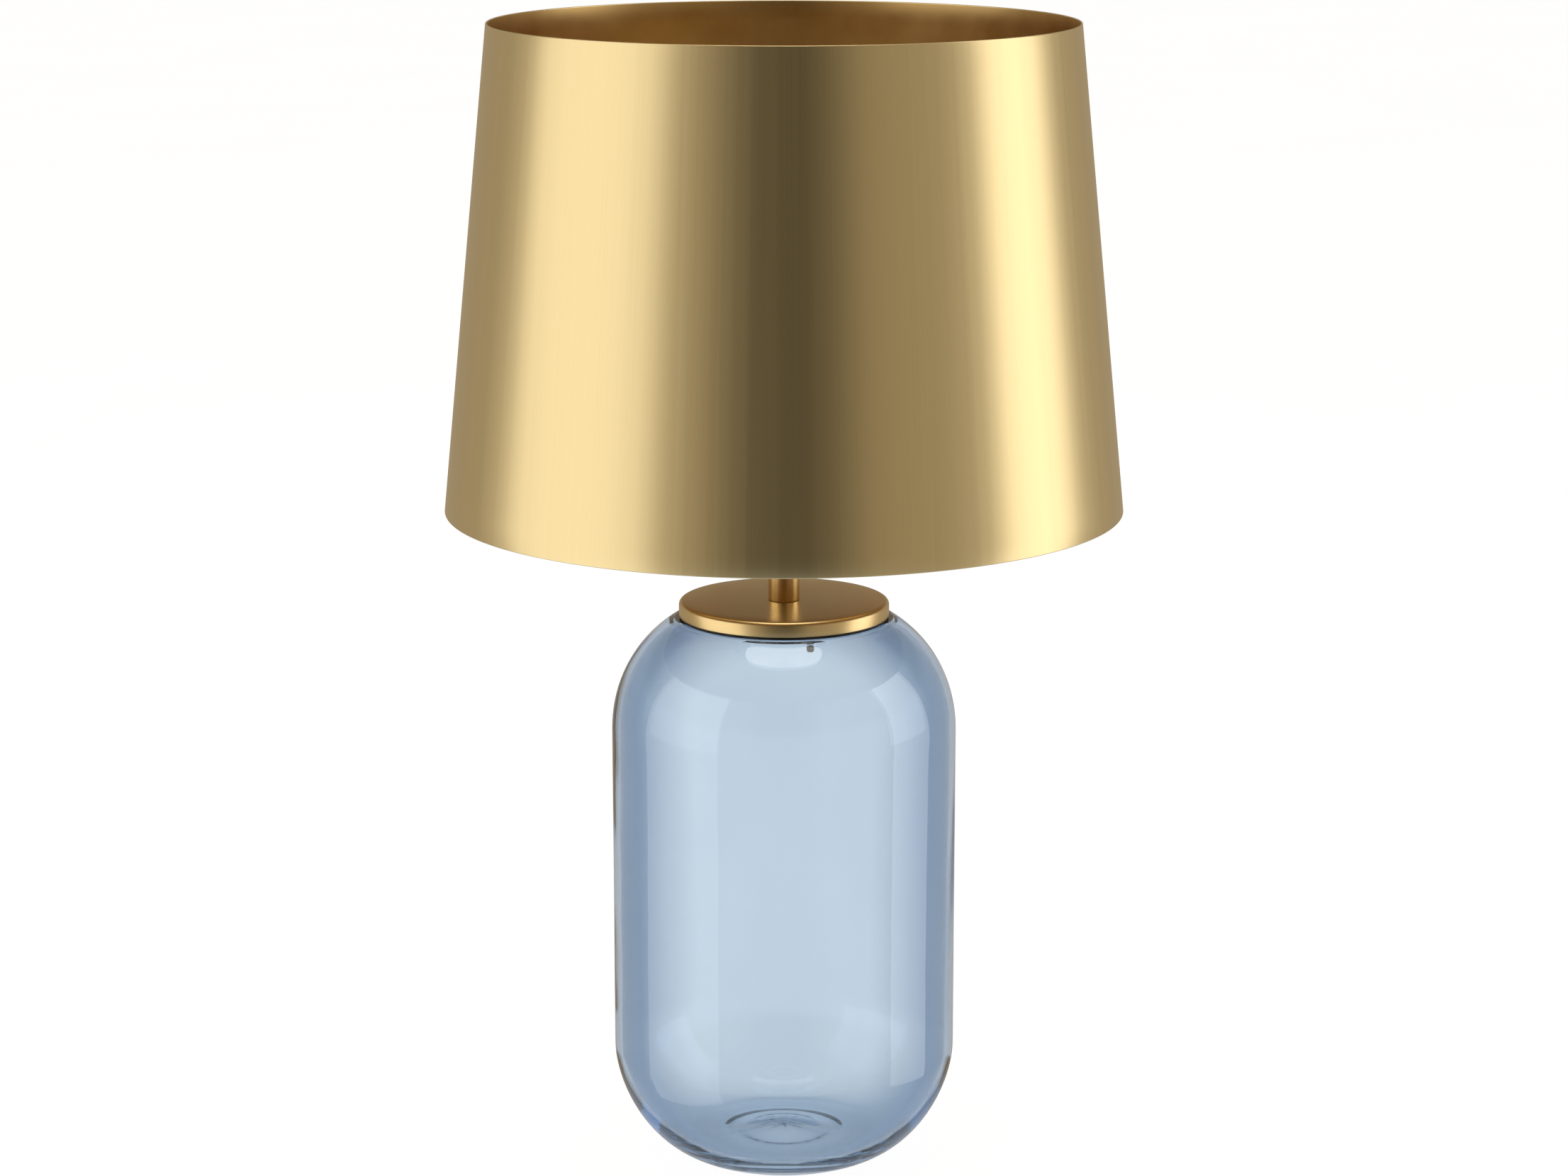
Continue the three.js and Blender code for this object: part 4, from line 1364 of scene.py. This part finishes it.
def makeLights():
    softBox("leftSoftBox", -73.5, 2.2, 0.5, 2.5, 4.4, 0.92)
    softBox("rightSoftBox", 93, 2.2, 0.9, 1.36, 3.6, 1.38)
    top = softBox("topSoftBox", 0, 0.0, 2.6, 1.5, 1.5, 1.7)
    top.data.shape = "DISK"
    top.data.color = (1, 0.94, 0.86)
    top.rotation_euler = (0, 0, 0)


def makeSurroundings():
    # a pale room to the eye and through glass; to gloss and shadow it is a warm room, dark in front
    world = bpy.data.worlds.new("studioRoom")
    bpy.context.scene.world = world
    world.use_nodes = True
    tree = world.node_tree
    split = addNode(tree, "ShaderNodeSeparateXYZ")
    tree.links.new(objectDirection(tree), split.inputs["Vector"])
    facing = addNode(tree, "ShaderNodeVectorMath", operation="DOT_PRODUCT")
    facing.inputs[1].default_value = (0, -1, 0)
    tree.links.new(levelDirection(tree, split), facing.inputs[0])
    limits = {key: math.radians(studio[key]) for key in
              ("darkFrom", "darkTo", "groundFrom", "groundTo", "paleFrom", "paleTo")}
    inFront = smoothShare(
        tree, facing.outputs["Value"], math.cos(limits["darkTo"]), math.cos(limits["darkFrom"])
    )
    room = mixTones(tree, inFront, studio["roomTone"], studio["frontTone"])
    up = split.outputs["Z"]
    down = smoothShare(tree, up, math.sin(limits["groundFrom"]), math.sin(limits["groundTo"]))
    roomAndGround = mixTones(tree, down, room, studio["groundTone"])
    low = smoothShare(tree, up, math.sin(limits["paleTo"]), math.sin(limits["paleFrom"]))
    path = addNode(tree, "ShaderNodeLightPath")
    throughGlass = addNode(tree, "ShaderNodeMath", operation="MULTIPLY", use_clamp=True)
    tree.links.new(path.outputs["Is Transmission Ray"], throughGlass.inputs[0])
    tree.links.new(low, throughGlass.inputs[1])
    seen = addNode(tree, "ShaderNodeMath", operation="MAXIMUM", use_clamp=True)
    tree.links.new(path.outputs["Is Camera Ray"], seen.inputs[0])
    tree.links.new(throughGlass.outputs["Value"], seen.inputs[1])
    shown = mixTones(tree, seen.outputs["Value"], roomAndGround, (1, 1, 1))
    tree.links.new(shown, tree.nodes["Background"].inputs["Color"])


def objectDirection(tree):
    return addNode(tree, "ShaderNodeTexCoord").outputs["Generated"]


def makeCamera():
    lens = bpy.data.cameras.new("camera")
    lens.lens = studio["lens"]
    lens.sensor_width = studio["sensor"]
    camera = bpy.data.objects.new("camera", lens)
    bpy.context.scene.collection.objects.link(camera)
    camera.location = studio["cameraPlace"]
    camera.rotation_euler = (math.pi / 2 - studio["cameraPitch"], 0, 0)
    bpy.context.scene.camera = camera


makeFloor()
makeLights()
makeSurroundings()
makeCamera()
bpy.context.scene.view_settings.view_transform = "Standard"
for limit in ("max_bounces", "glossy_bounces", "transmission_bounces"):
    # light runs a long way inside the glass's wall
    setattr(bpy.context.scene.cycles, limit, studio["bounces"])
print("studio made")
